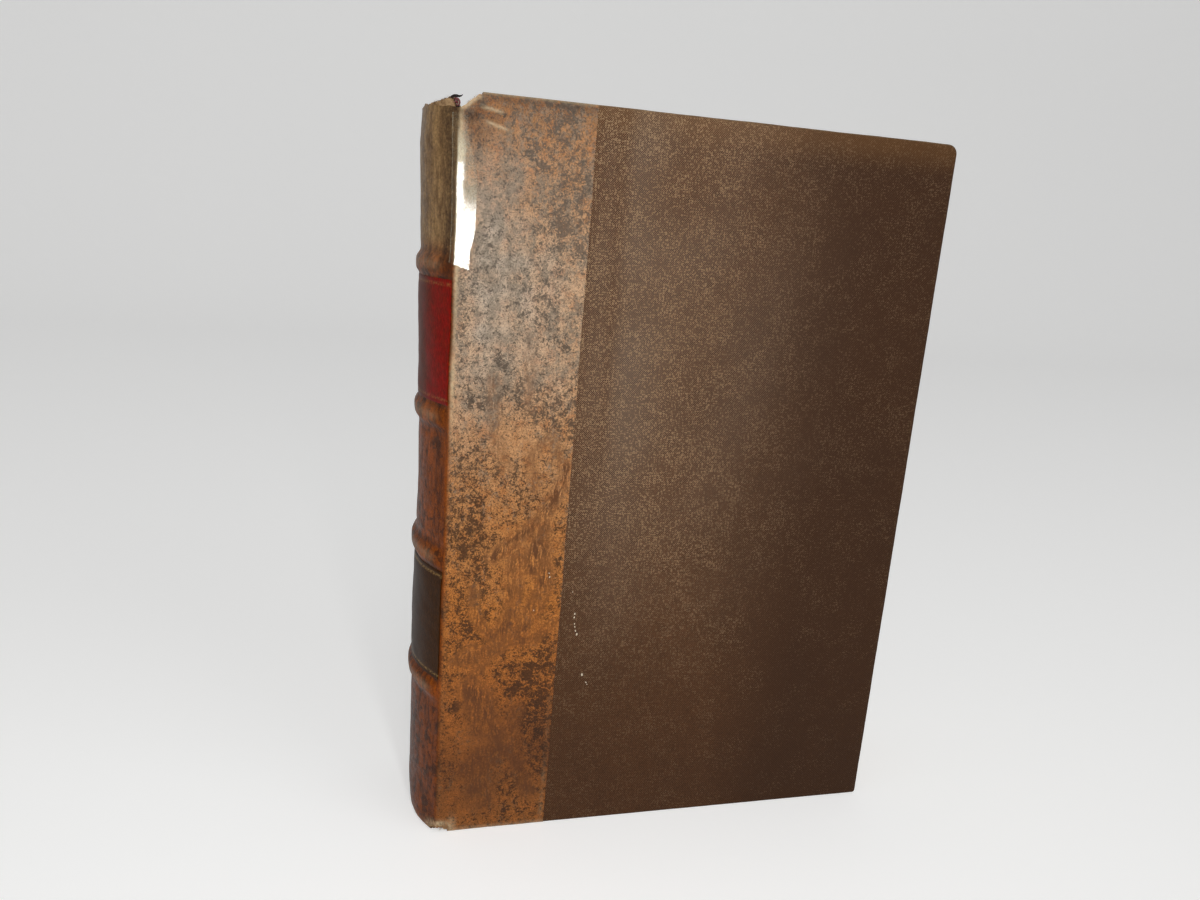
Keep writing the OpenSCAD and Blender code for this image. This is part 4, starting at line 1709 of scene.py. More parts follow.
class Finishes:
    """Every finish of the book, made once."""

    def __init__(self) -> None:
        """Makes the finishes."""
        self.leather = MottledLeather().material()
        self.cloth = BookCloth().material()
        self.pages = self.paper("page_edges", (206, 186, 146), (160, 130, 90), leaf_lines=0.55, toning=0.8)
        self.endpaper = Paper().material()
        self.card = self.paper("torn_card", (182, 150, 110), (110, 80, 52), (60, 40, 28),
                               toning=1.0, finer=16)
        self.dark_scrap_and_shadow = self.paper("dark_torn_leather_and_shadow", (46, 32, 28), (30, 22, 22), (96, 50, 44),
                                     toning=1.0, finer=12)
        self.fluff = self.paper("torn_fluff", (176, 148, 108), (140, 106, 70), (96, 64, 42),
                                toning=1.0, finer=12)
        self.lint = self.paper("white_lint", (222, 212, 190), (196, 182, 156), (170, 150, 120))
        self.lining = self.paper("lining_cloth", (190, 174, 140), (150, 128, 94))
        self.cord = Silk(name="hemp_cord", thread=srgb(170, 144, 102), shade=srgb(120, 96, 62),
                         roughness=0.8).material()
        self.red_silk = Silk().material()
        self.cream_silk = Silk(name="cream_silk", thread=srgb(206, 188, 150),
                               shade=srgb(150, 126, 90)).material()
        self.red_label = LabelLeather().material()
        self.dark_label = LabelLeather(name="dark_label_leather", skin=srgb(56, 30, 4), dull=srgb(44, 22, 2),
                                       gilt=srgb(176, 138, 80), gilt_amount=0.7).material()
        self.tape = ClearTape().material()

    def paper(self, name: str, clean: tuple, aged: tuple, spot: tuple = (138, 100, 62),
              **more: float) -> bpy.types.Material:
        """One kind of paper or card, with its colours given as 0 to 255 in each channel."""
        return Paper(name=name, clean=srgb(*clean), aged=srgb(*aged), spot=srgb(*spot), **more).material()

    def dress(self, made: bpy.types.Object, finish: bpy.types.Material) -> None:
        """Gives an object one material, in place of any that it had."""
        made.data.materials.clear()
        made.data.materials.append(finish)


@dataclass
class SpineLabel:
    """A thin leather label pasted round the spine between two bands."""

    form: SpineForm
    node: str
    slot: str
    thick: float = 0.32
    clear: float = 0.8
    fillet_in: float = 1.6

    def build(self) -> bpy.types.Object:
        """Makes the label, riding on the spine.

        Returns:
            The piece.
        """
        book = self.form.book
        low, high = (c.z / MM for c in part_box(self.node))
        ends = np.array([0.0, 0.35, 0.8, 1.4])
        middle = np.linspace(2.2, high - low - 2.2, 34)
        z = low + np.concatenate([ends, middle, high - low - ends[::-1]])
        runs = -np.concatenate([np.linspace(self.clear, 5, 12), np.linspace(6, book.book_t - 6, 34),
                                np.linspace(book.book_t - 5, book.book_t - self.clear, 12)])
        run, height = np.meshgrid(runs, z)
        run = run + 0.10 * wander(height, 19, 91, 3) * (np.abs(run + book.book_t / 2) > book.book_t / 2 - 1)
        across = np.minimum(-run - self.clear + 0.3, book.book_t - self.clear + run + 0.3)
        inside = np.minimum(np.minimum(height - low, high - height), across)
        soft = self.thick * np.sqrt(np.clip(inside / 0.5, 0.12, 1))
        points = self.form.surface(run, height, soft)
        skin = Skin(points, self.thick)
        line = np.minimum(np.abs(height - low - self.fillet_in), np.abs(high - height - self.fillet_in))
        skin.paint = {
            "fillet": bell(line, 0, 0.32, 4),
            # browned and painted sheen towards the spine's back
            "faded_and_sheen": smoothstep(-5, -16, run + 2 * ripple(run, height, 14, 92)),
        }
        made = skin.build(self.node + "_patch", book)
        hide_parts(self.node)
        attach(made, "root")
        return made


@dataclass
class RepairTape:
    """The clear tape that holds the torn head of the front joint."""

    form: SpineForm
    spine_reach: float = 1.6
    thick: float = 0.12

    def build(self) -> bpy.types.Object:
        """Makes the film, shaped over the front joint.

        Returns:
            The piece.
        """
        book = self.form.book
        low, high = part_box("repair_tape")
        right = (high.x - book.origin.x) / MM
        share = np.linspace(0, 1, 34)[None, :]
        rows = np.linspace(0, 1, 90)[:, None]
        foot = low.z / MM + 1.6 * share + 0.1 * wander(share * 8, 3, 101)
        head = high.z / MM - 1.2 + 0.5 * share
        z = foot + rows * (head - foot)
        edge = right - 1.3 + 1.3 * smoothstep(182, 190, z) - 3.0 * smoothstep(202, 216, z)
        run = edge - share * (edge + self.spine_reach)
        wavy = 0.012 * ripple(run, z, 9, 102)
        points = self.form.surface(run, z, 0.2 + wavy)
        flat = smoothstep(-1.0, -0.3, run) * smoothstep(217, 213, z)
        points[:, :, 1] += flat * (-0.44 - wavy - points[:, :, 1])
        skin = Skin(points, self.thick)
        edge_mark = 0.5 * bell(run + self.spine_reach, 0.05, 0.08)
        crinkle = 0.25 * wander(z, 1.7, 103, 3) + 0.6 * wander(z, 7, 104, 3)
        upper = smoothstep(192.2, 201.0, z + crinkle) * smoothstep(0.9, 2.3, run + 0.3 * crinkle)
        fading = 1 - 0.78 * smoothstep(0.8, 2.2, run + 0.3 * crinkle) * smoothstep(194, 203, z)
        fading = fading * (1 - 0.45 * smoothstep(1.8, 4.4, run) * smoothstep(191, 197, z))
        skin.paint = {
            "stuck": np.clip(0.05 + 0.95 * fading * smoothstep(-0.55, -0.05, run) * smoothstep(218, 209, z)
                             + edge_mark, 0, 1),
            "dull": np.maximum(upper, smoothstep(205.6, 209.0, z + crinkle)),
        }
        made = skin.build("clear_repair_tape", book)
        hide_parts("repair_tape")
        book.at(-0.7, 0, book.hinge_z)
        book.at(1.3, 0, book.hinge_z)
        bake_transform(made)
        return made


SOCKET_KINDS = ((int, "NodeSocketInt"), (float, "NodeSocketFloat"), (tuple, "NodeSocketVector"),
                (bpy.types.Object, "NodeSocketObject"), (bpy.types.Material, "NodeSocketMaterial"))


class GrowthTree:
    """A geometry tree with named inputs, run once on a mesh and baked into a plain one."""

    def __init__(self, name: str, **inputs: object) -> None:
        """Starts the tree.

        Args:
            name: The tree's name.
            inputs: The value of each input. Finish is the material of what grows.
        """
        self.tree = bpy.data.node_groups.new(name, "GeometryNodeTree")
        face = self.tree.interface
        for way in ("INPUT", "OUTPUT"):
            face.new_socket("Geometry", in_out=way, socket_type="NodeSocketGeometry")
        self.values = {}
        for key, value in inputs.items():
            kind = next(kind for sort, kind in SOCKET_KINDS if isinstance(value, sort))
            self.values[face.new_socket(key, in_out="INPUT", socket_type=kind).identifier] = value
        self.nodes = Wiring(self.tree)
        sockets = self.nodes.add("NodeGroupInput").outputs
        self.given = {key: Amount(self.nodes, sockets[key]) for key in ("Geometry", *inputs)}

    def shown(self, key: str) -> Amount:
        """The geometry of the object that an input names."""
        return self.nodes.out("GeometryNodeObjectInfo", {"Object": self.given[key]}, "Geometry")

    def plant(self, points: Value, **more: Value) -> None:
        """Ends the tree: the mesh stands at each point, with its finish.

        Args:
            points: The points.
            more: The Rotation and the Scale of each copy.
        """
        laid = self.nodes.out("GeometryNodeInstanceOnPoints",
                              {"Points": points, "Instance": self.given["Geometry"], **more})
        real = self.nodes.out("GeometryNodeRealizeInstances", {0: laid})
        painted = self.nodes.out("GeometryNodeSetMaterial",
                                 {"Geometry": real, "Material": self.given["Finish"]})
        self.nodes.add("NodeGroupOutput", {0: painted})

    def grow(self, seedbed: bpy.types.Object, name: str) -> bpy.types.Object:
        """Runs the tree on an object and bakes what it makes.

        Args:
            seedbed: The object that the tree works on. It is removed.
            name: Name of the baked object.

        Returns:
            The baked object, at the origin.
        """
        modifier = seedbed.modifiers.new("growth", "NODES")
        modifier.node_group = self.tree
        for key, value in self.values.items():
            modifier[key] = value
        graph = bpy.context.evaluated_depsgraph_get()
        mesh = bpy.data.meshes.new_from_object(seedbed.evaluated_get(graph))
        seedbed.modifiers.remove(modifier)
        bpy.data.objects.remove(seedbed)
        mesh.name = name
        made = bpy.data.objects.new(name, mesh)
        bpy.context.scene.collection.objects.link(made)
        return made


@dataclass
class Pages:
    """The sewn gatherings of the book, side by side, rounded at the spine and hollow at the fore-edge."""

    book: Measures
    finish: bpy.types.Material
    gatherings: int = 24
    closeness: float = 0.985
    back_bulge: float = 5.0
    fold_bulge: float = 0.58
    unevenness: float = 0.09
    fold_points: int = 9
    soft_end: float = 0.15

    def gathering(self) -> bpy.types.Object:
        """One gathering: a slab with a round fold, its back at X 0 and its middle at Y 0.

        Returns:
            The gathering's object, to be laid in rows.
        """
        book = self.book
        half = (book.book_t - 2 * book.page_back) / self.gatherings / 2 * self.closeness
        width = book.page_w + 0.4
        outline = [(half - half * math.sin(t), -half * math.cos(t))
                   for t in np.linspace(0, math.pi, self.fold_points)]
        outline += [(width, half), (width + 0.05, 0.0), (width, -half)]
        low, high = book.square, book.cover_h - book.square
        levels = ((low, 0.9), (low + self.soft_end, 1.0), (high - self.soft_end, 1.0), (high, 0.9))
        places = np.array([(x * MM, y * share * MM, z * MM) for z, share in levels for x, y in outline])
        n = len(outline)
        ends = [tuple(reversed(range(n))), tuple(range(3 * n, 4 * n))]
        return closed_object("one_gathering", places, ends + ring_faces(4, n))

    def build(self) -> bpy.types.Object:
        """Sets the gatherings side by side.

        Returns:
            The pages, riding on the root.
        """
        book = self.book
        chord = (book.book_t - 2 * book.page_back) / 2
        bulge = self.back_bulge - self.fold_bulge
        plan = GrowthTree(
            "sewn_gatherings", Count=self.gatherings, Pitch=2 * chord / self.gatherings * MM,
            Middle=book.origin.y + book.book_t / 2 * MM, Radius=(bulge ** 2 + chord ** 2) / (2 * bulge) * MM,
            Back=book.origin.x - self.back_bulge * MM, Unevenness=self.unevenness * MM, Seed=7,
            Finish=self.finish)
        nodes, given = plan.nodes, plan.given
        first = given["Middle"] - given["Pitch"] * ((given["Count"] - 1) * 0.5)
        start, pitch = nodes.joined(y=first), nodes.joined(y=given["Pitch"])
        row = nodes.out("GeometryNodeMeshLine",
                        {"Count": given["Count"], "Start Location": start, "Offset": pitch})
        y = nodes.axes(nodes.out("GeometryNodeInputPosition"))[1]
        off = y - given["Middle"]
        drop = nodes.math("SQRT", nodes.math("POWER", given["Radius"], 2.0) - off * off)
        x = given["Back"] + (given["Radius"] - drop)
        place = nodes.shifted(nodes.joined(x, y), nodes.jitter(given["Seed"], given["Unevenness"], (1, 0, 1)))
        plan.plant(nodes.out("GeometryNodeSetPosition", {"Geometry": row, "Position": place}))
        made = plan.grow(self.gathering(), "sewn_pages")
        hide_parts("text_block")
        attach(made, "root")
        return made


def tube(path: np.ndarray, radius: float | np.ndarray,
         sides: int) -> tuple[np.ndarray, list[tuple[int, ...]]]:
    """A closed tube along a path that stays level.

    Args:
        path: Points in millimetres.
        radius: Its radius, the same all along or one value for each point.
        sides: Corners of its section.

    Returns:
        The points and the faces.
    """
    ahead = np.gradient(path, axis=0)
    ahead /= np.linalg.norm(ahead, axis=1, keepdims=True)
    up = np.array([0.0, 0.0, 1.0])
    out = np.cross(ahead, up)
    turns = np.linspace(0, 2 * math.pi, sides, endpoint=False)
    reach = np.broadcast_to(radius, len(path))
    rings = [p + r * (math.cos(t) * o + math.sin(t) * up) for p, o, r in zip(path, out, reach) for t in turns]
    ends = [tuple(range(sides)), tuple(range(len(rings) - sides, len(rings)))]
    return np.array(rings), ends + ring_faces(len(path), sides)


@dataclass
class HeadBand:
    """A silk headband: a cord wound with red and cream thread."""

    book: Measures
    node: str
    red: bpy.types.Material
    cream: bpy.types.Material
    core_radius: float = 0.95
    thread: float = 0.24
    windings: int = 36
    tilt: float = 0.10
    front_share: float = 1.0
    path_points: int = 60

    def path(self) -> np.ndarray:
        """The cord's centreline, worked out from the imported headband's box.

        Returns:
            The points, in millimetres.
        """
        low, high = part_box(self.node)
        origin = self.book.origin
        radius = (high.z - low.z) / MM / 2
        bulge = -((low.x - origin.x) / MM + radius)
        front, back = (low.y - origin.y) / MM, (high.y - origin.y) / MM
        half = (back - front) / 2
        bend = (bulge ** 2 + half ** 2) / (2 * bulge)
        reach = math.asin(half / bend) * 0.985
        turns = np.linspace(-reach * self.front_share, reach, self.path_points)
        middle = (low.z + high.z) / 2 / MM
        return np.stack([bend - bulge - bend * np.cos(turns), (front + back) / 2 + bend * np.sin(turns),
                         np.full(self.path_points, middle)], 1)

    def winding(self) -> bpy.types.Object:
        """One turn of thread round the cord, in the plane across X.

        Returns:
            The turn's object, to be laid along the cord.
        """
        ring, sides = 12, 5
        places, faces = [], []
        for a in np.linspace(0, 2 * math.pi, ring, endpoint=False):
            for b in np.linspace(0, 2 * math.pi, sides, endpoint=False):
                far = (self.core_radius + self.thread * math.cos(b)) * MM
                places.append((self.thread * 1.05 * math.sin(b) * MM, far * math.cos(a), far * math.sin(a)))
        for i in range(ring):
            for j in range(sides):
                a, b = i * sides + j, i * sides + (j + 1) % sides
                c, d = (i + 1) % ring * sides + (j + 1) % sides, (i + 1) % ring * sides + j
                faces.append((a, b, c, d))
        return closed_object("one_winding", np.array(places), faces)

    def wind(self, name: str, phase: float, finish: bpy.types.Material) -> bpy.types.Object:
        """Winds one colour of thread.

        Args:
            name: Name of the windings.
            phase: Share of the spacing at which the first turn lies.
            finish: The thread's finish.

        Returns:
            The windings.
        """
        guide = guide_curve(self.book, name + "_line", self.path())
        plan = GrowthTree(name + "_tree", Count=self.windings, Phase=phase, Line=guide, Tilt=self.tilt,
                          Seed=3, Finish=finish)
        nodes, given = plan.nodes, plan.given
        first = given["Phase"] / given["Count"]
        last = 1.0 - nodes.math("DIVIDE", 1.0, given["Count"]) + first
        piece = nodes.out("GeometryNodeTrimCurve", {"Curve": plan.shown("Line"), 2: first, 3: last})
        points = nodes.add("GeometryNodeCurveToPoints", {"Curve": piece, "Count": given["Count"]}).outputs
        quarter = nodes.out("FunctionNodeRotateEuler", {0: (0.0, math.pi / 2, 0.0), 1: points["Rotation"]})
        lean = nodes.jitter(given["Seed"], given["Tilt"])
        plan.plant(points[0], Rotation=nodes.shifted(quarter, lean))
        made = plan.grow(self.winding(), name)
        bpy.data.objects.remove(guide)
        return made

    def build(self) -> list[bpy.types.Object]:
        """Makes the cord and both threads.

        Returns:
            The three pieces, riding on the root.
        """
        radius = self.core_radius * (0.35 + 0.65 * smoothstep(0, 4, np.arange(self.path_points)))
        places, faces = tube(self.path(), radius, 10)
        core = closed_object(self.node + "_cord", self.book.place(places), faces)
        core.data.materials.append(self.red)
        made = [core, self.wind(self.node + "_red_thread", 0.0, self.red),
                self.wind(self.node + "_cream_thread", 0.5, self.cream)]
        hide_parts(self.node)
        for piece in made:
            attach(piece, "root")
        return made


@dataclass
class Fibres:
    """Loose torn fibres that stand along a line."""

    book: Measures
    name: str
    line: Sequence[Sequence[float]]
    count: int
    length: float
    thickness: float
    facing: tuple[float, float, float]
    unruly: float
    scatter: float
    seed: int

    def fibre(self) -> bpy.types.Object:
        """One fibre: a thin bent prism that narrows to its tip and stands on the origin.

        Returns:
            The fibre's object, to be laid along a line.
        """
        levels = ((0.0, 1.0, 0.0), (0.35, 0.9, 0.03), (0.7, 0.6, 0.12), (1.0, 0.12, 0.26))
        places = []
        for up, wide, lean in levels:
            for turn in (0, 120, 240):
                t = math.radians(turn)
                places.append((self.thickness / 2 * wide * math.cos(t) + lean * self.length * 0.5,
                               self.thickness / 2 * wide * math.sin(t), up * self.length))
        return closed_object("one_fibre", np.array(places) * MM, [(2, 1, 0), (9, 10, 11)] + ring_faces(4, 3))

    def build(self, finish: bpy.types.Material, slot: str, body: str) -> bpy.types.Object:
        """Sets the fibres along the line.

        Args:
            finish: Their finish.
            slot: Not used.
            body: The body that they ride on.

        Returns:
            The fibres.
        """
        guide = guide_curve(self.book, self.name + "_line", self.line)
        plan = GrowthTree(self.name + "_tree", Line=guide, Count=self.count, Facing=self.facing,
                          Unruly=self.unruly, Scatter=self.scatter * MM, Seed=self.seed, Finish=finish)
        nodes, given = plan.nodes, plan.given
        points = nodes.out("GeometryNodeCurveToPoints",
                           {"Curve": plan.shown("Line"), "Count": given["Count"]})
        off = nodes.jitter(given["Seed"], given["Scatter"])
        spread = nodes.out("GeometryNodeSetPosition", {"Geometry": points, "Offset": off})
        lean = nodes.jitter(given["Seed"] + 1, given["Unruly"])
        way = nodes.out("FunctionNodeAlignRotationToVector", {"Vector": nodes.shifted(given["Facing"], lean)},
                        axis="Z")
        size = nodes.chance((0.45, 0.45, 0.45), (1.1, 1.1, 1.3), given["Seed"] + 2)
        plan.plant(spread, Rotation=way, Scale=size)
        made = plan.grow(self.fibre(), self.name)
        bpy.data.objects.remove(guide)
        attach(made, body)
        return made


def guide_curve(book: Measures, name: str, line: Sequence[Sequence[float]]) -> bpy.types.Object:
    """A line through points in millimetres, for a geometry tree to follow.

    Args:
        book: The book's measures.
        name: The object's name.
        line: Its points, in millimetres.

    Returns:
        The curve's object.
    """
    curve = bpy.data.curves.new(name, "CURVE")
    curve.dimensions = "3D"
    drawn = curve.splines.new("POLY")
    places = book.place(np.asarray(line, float))
    drawn.points.add(len(places) - 1)
    for point, place in zip(drawn.points, places):
        point.co = (*place, 1.0)
    made = bpy.data.objects.new(name, curve)
    bpy.context.scene.collection.objects.link(made)
    return made


@dataclass
class TornHead:
    """What shows in the tear at the head: the spine's card, a dark layer behind it as painted shadow, and
    loose fibres.
    """

    form: SpineForm
    finishes: "Finishes"
    card_depth: float = 0.75
    card_thick: float = 0.8
    dark_thick: float = 0.3

    def layer(self, name: str, lift: float, thick: float, low: float, tops: Sequence[Sequence[float]],
              rough: float, seed: int) -> bpy.types.Object:
        """One layer round the spine, with a torn upper edge.

        Args:
            name: The piece's name.
            lift: Height of its outer side above the leather's.
            thick: Its thickness.
            low: Height of its lower edge.
            tops: Depth and height of points on its upper edge.
            rough: Size of the tear's teeth.
            seed: Picks the teeth.

        Returns:
            The layer, riding on the root.
        """
        book = self.form.book
        runs = -np.concatenate([np.linspace(1.0, 12, 56), np.linspace(12.6, book.book_t - 1.0, 44)])
        top = np.interp(-runs, *zip(*tops)) + rough * wander(runs, 1.3, seed, 5)
        rows = np.concatenate([np.linspace(0, 0.9, 30), np.linspace(0.92, 1, 9)])[:, None]
        z = low + rows * (top[None, :] - low)
        run = np.broadcast_to(runs[None, :], z.shape)
        sunk = lift - self.form.relief(run, z)
        made = Skin(self.form.surface(run, z, sunk), thick).build(name, book)
        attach(made, "root")
        return made

    def curl(self) -> bpy.types.Object:
        """The dark sliver of leather that curls over the tear.

        Returns:
            The piece.
        """
        path = np.array([(-2.6, 4.6, 222.9), (-2.1, 3.8, 223.3), (-1.5, 3.0, 223.5), (-0.9, 2.2, 223.5),
                         (-0.3, 1.5, 223.35), (0.2, 0.9, 223.45), (0.6, 0.5, 223.8)])
        radius = np.array([0.12, 0.34, 0.42, 0.36, 0.28, 0.2, 0.05])
        places, faces = tube(path, radius, 8)
        made = closed_object("curled_sliver", self.form.book.place(places), faces)
        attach(made, "root")
        return made

    def build(self) -> list[bpy.types.Object]:
        """Makes every piece of the tear.

        Returns:
            The pieces, dressed.
        """
        book = self.form.book
        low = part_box("spine_card")[0].z / MM
        tops = ((0, 219.4), (1.8, 219.6), (2.05, 222.2), (3.4, 222.8), (5, 222.5), (7, 222.1), (10, 221.9),
                (14, 221.8), (20, 221.2), (30, 221.0), (44, 220.8))
        card = self.layer("torn_spine_card", -self.card_depth, self.card_thick, low, tops, 0.26, 111)
        self.finishes.dress(card, self.finishes.card)
        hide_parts("spine_card")
        # painted shadow: a dark layer that stands up behind the card's torn edge
        dark_tops = ((0, 221.0), (1.9, 221.2), (2.4, 222.9), (4, 223.2), (6, 222.8), (9, 222.3), (14, 222.1),
                     (20, 221.0), (44, 220.4))
        dark = self.layer("torn_inner_layer", -self.card_depth - self.card_thick - 0.02, self.dark_thick,
                          206.0, dark_tops, 0.24, 112)
        self.finishes.dress(dark, self.finishes.dark_scrap_and_shadow)
        sliver = self.curl()
        self.finishes.dress(sliver, self.finishes.dark_scrap_and_shadow)
        made = [card, dark, sliver]
        edge_runs = -np.linspace(2.2, 13, 24)
        edge = self.form.surface(edge_runs, np.interp(-edge_runs, *zip(*tops)) - 0.25, -1.1)
        made.append(Fibres(book, "torn_card_fibres", edge, 150, 0.75, 0.13, (0.0, -0.3, 1.0), 0.55, 0.3, 5)
                    .build(self.finishes.card, "card", "root"))
        rim_runs = -np.linspace(1.2, 9, 20)
        rim = self.form.surface(rim_runs, Leather(self.form).rim(rim_runs) - 0.2, -0.35)
        made.append(Fibres(book, "torn_leather_fibres", rim, 46, 0.42, 0.1, (-0.2, -0.4, 1.0), 0.7, 0.15, 9)
                    .build(self.finishes.fluff, "leather", "root"))
        cut = [(1.5, 0.35, 221.6), (3.0, 0.3, 222.8), (4.4, 0.3, 223.9)]
        made.append(Fibres(book, "cut_corner_fibres", cut, 36, 0.42, 0.1, (-0.5, -0.7, 0.5), 0.6, 0.25, 13)
                    .build(self.finishes.fluff, "leather", "front_cover"))
        silk = [(-1.6, 2.6, 221.9), (-0.9, 1.7, 222.5)]
        made.append(Fibres(book, "loose_silk", silk, 22, 0.9, 0.16, (0.3, -0.8, 0.5), 0.8, 0.25, 17)
                    .build(self.finishes.red_silk, "silk", "root"))
        tail_runs = -np.linspace(0.6, 3.6, 8)
        tail = self.form.surface(tail_runs, Leather(self.form).foot(tail_runs) + 0.15, -0.1)
        made.append(Fibres(book, "worn_tail_fibres", tail, 60, 0.45, 0.13, (-0.5, -0.7, -0.1), 0.6, 0.2, 21)
                    .build(self.finishes.fluff, "leather", "root"))
        corner = [(1.6, 0.35, 0.8), (1.8, 0.3, 2.2), (2.1, 0.3, 4.0)]
        made.append(Fibres(book, "worn_corner_fibres", corner, 50, 0.5, 0.13, (-0.3, -1.0, 0.1), 0.5, 0.3, 23)
                    .build(self.finishes.fluff, "leather", "front_cover"))
        return made


@dataclass
class Lint:
    """White flecks of lint that cling to the front cover."""

    form: SpineForm
    marks: tuple[tuple[float, float, float], ...] = (
        (32.3, 87.3, 0.8), (32.05, 88.5, 0.6), (27.9, 76.4, 0.6), (41.0, 74.6, 0.9), (40.9, 73.4, 0.9),
        (41.15, 71.2, 0.7), (41.3, 70.2, 0.8), (41.6, 68.8, 0.9), (42.1, 67.6, 1.2), (44.8, 53.4, 1.3),
        (46.3, 50.6, 0.8), (46.7, 49.9, 0.6), (39.8, 82.0, 0.5))
    corners: tuple[float, ...] = (1.0, 0.62, 0.9, 0.7, 1.0, 0.58, 0.85, 0.66, 0.9)

    def flake(self) -> bpy.types.Object:
        """One small ragged flake that lies in the plane across Y.

        Returns:
            The flake's object, to be scattered.
        """
        count = len(self.corners)
        turns = np.radians(np.arange(0, 360, 360 / count))
        rim = np.stack([0.26 * np.array(self.corners) * np.cos(turns), np.zeros(count),
                        0.5 * np.array(self.corners) * np.sin(turns)], 1)
        places = np.concatenate([rim, [[0.0, -0.12, 0.0], [0.0, 0.02, 0.0]]]) * MM
        around = [(k, (k + 1) % count) for k in range(count)]
        return closed_object("one_flake", places,
                             [(a, b, count) for a, b in around] + [(b, a, count + 1) for a, b in around])

    def build(self, finish: bpy.types.Material) -> bpy.types.Object:
        """Scatters the flakes on their marks, riding on the front cover.

        Args:
            finish: The material.

        Returns:
            The piece.
        """
        book = self.form.book
        x, z, size = (np.array(column) for column in zip(*self.marks))
        on_cloth = x >= book.strip_w
        places = self.form.surface(x, z, 0.03)
        places[on_cloth] = np.stack([x, np.full(len(x), book.cloth_y - 0.06), z], 1)[on_cloth]
        seats = mesh_object("lint_seats", book.place(places), [], {"size": size})
        plan = GrowthTree("lint_tree", Seats=seats, Seed=4, Finish=finish)
        turn = plan.nodes.chance((0, -0.6, 0), (0, 0.6, 0), plan.given["Seed"])
        scale = plan.nodes.out("GeometryNodeInputNamedAttribute", {"Name": "size"})
        plan.plant(plan.shown("Seats"), Rotation=turn, Scale=scale)
        made = plan.grow(self.flake(), "lint_flecks")
        bpy.data.objects.remove(seats)
        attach(made, "front_cover")
        return made


@dataclass
class EndpaperFold:
    """The fold of an endpaper in the inner joint, between the flyleaf and the pastedown."""

    book: Measures
    side: Side
    thick: float = 0.1

    def build(self, finish: bpy.types.Material) -> bpy.types.Object:
        """Makes the fold, shaped round its joint.

        Args:
            finish: The material.

        Returns:
            The piece.
        """
        book = self.book
        inner = book.page_back - self.thick / 2
        outer = book.paste_back - self.thick / 2
        path = np.array([(-0.02, inner), (0.02, 3.4), (0.05, 2.2), (0.08, 1.3), (0.11, 0.95), (0.15, 0.85),
                         (0.19, 0.95), (0.22, 1.3), (0.25, 2.2), (0.28, 3.4), (0.32, outer)])
        z = np.linspace(book.square, book.cover_h - book.square, 30)
        x = np.broadcast_to(path[:, 0][:, None], (len(path), len(z)))
        y = np.broadcast_to(path[:, 1][:, None], x.shape)
        points = self.side.turn(np.stack([x, y, np.broadcast_to(z[None, :], x.shape)], -1), book)
        if self.side is Side.BACK:
            points = points[::-1]
        made = Skin(points, self.thick * 0.3).build(f"{self.side.value}_endpaper_fold", book)
        made.data.materials.append(finish)
        hinge_y = 0.0 if self.side is Side.FRONT else book.book_t
        book.at(0.12, hinge_y, book.hinge_z)
        book.at(0.18, hinge_y, book.hinge_z)
        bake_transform(made)
        return made


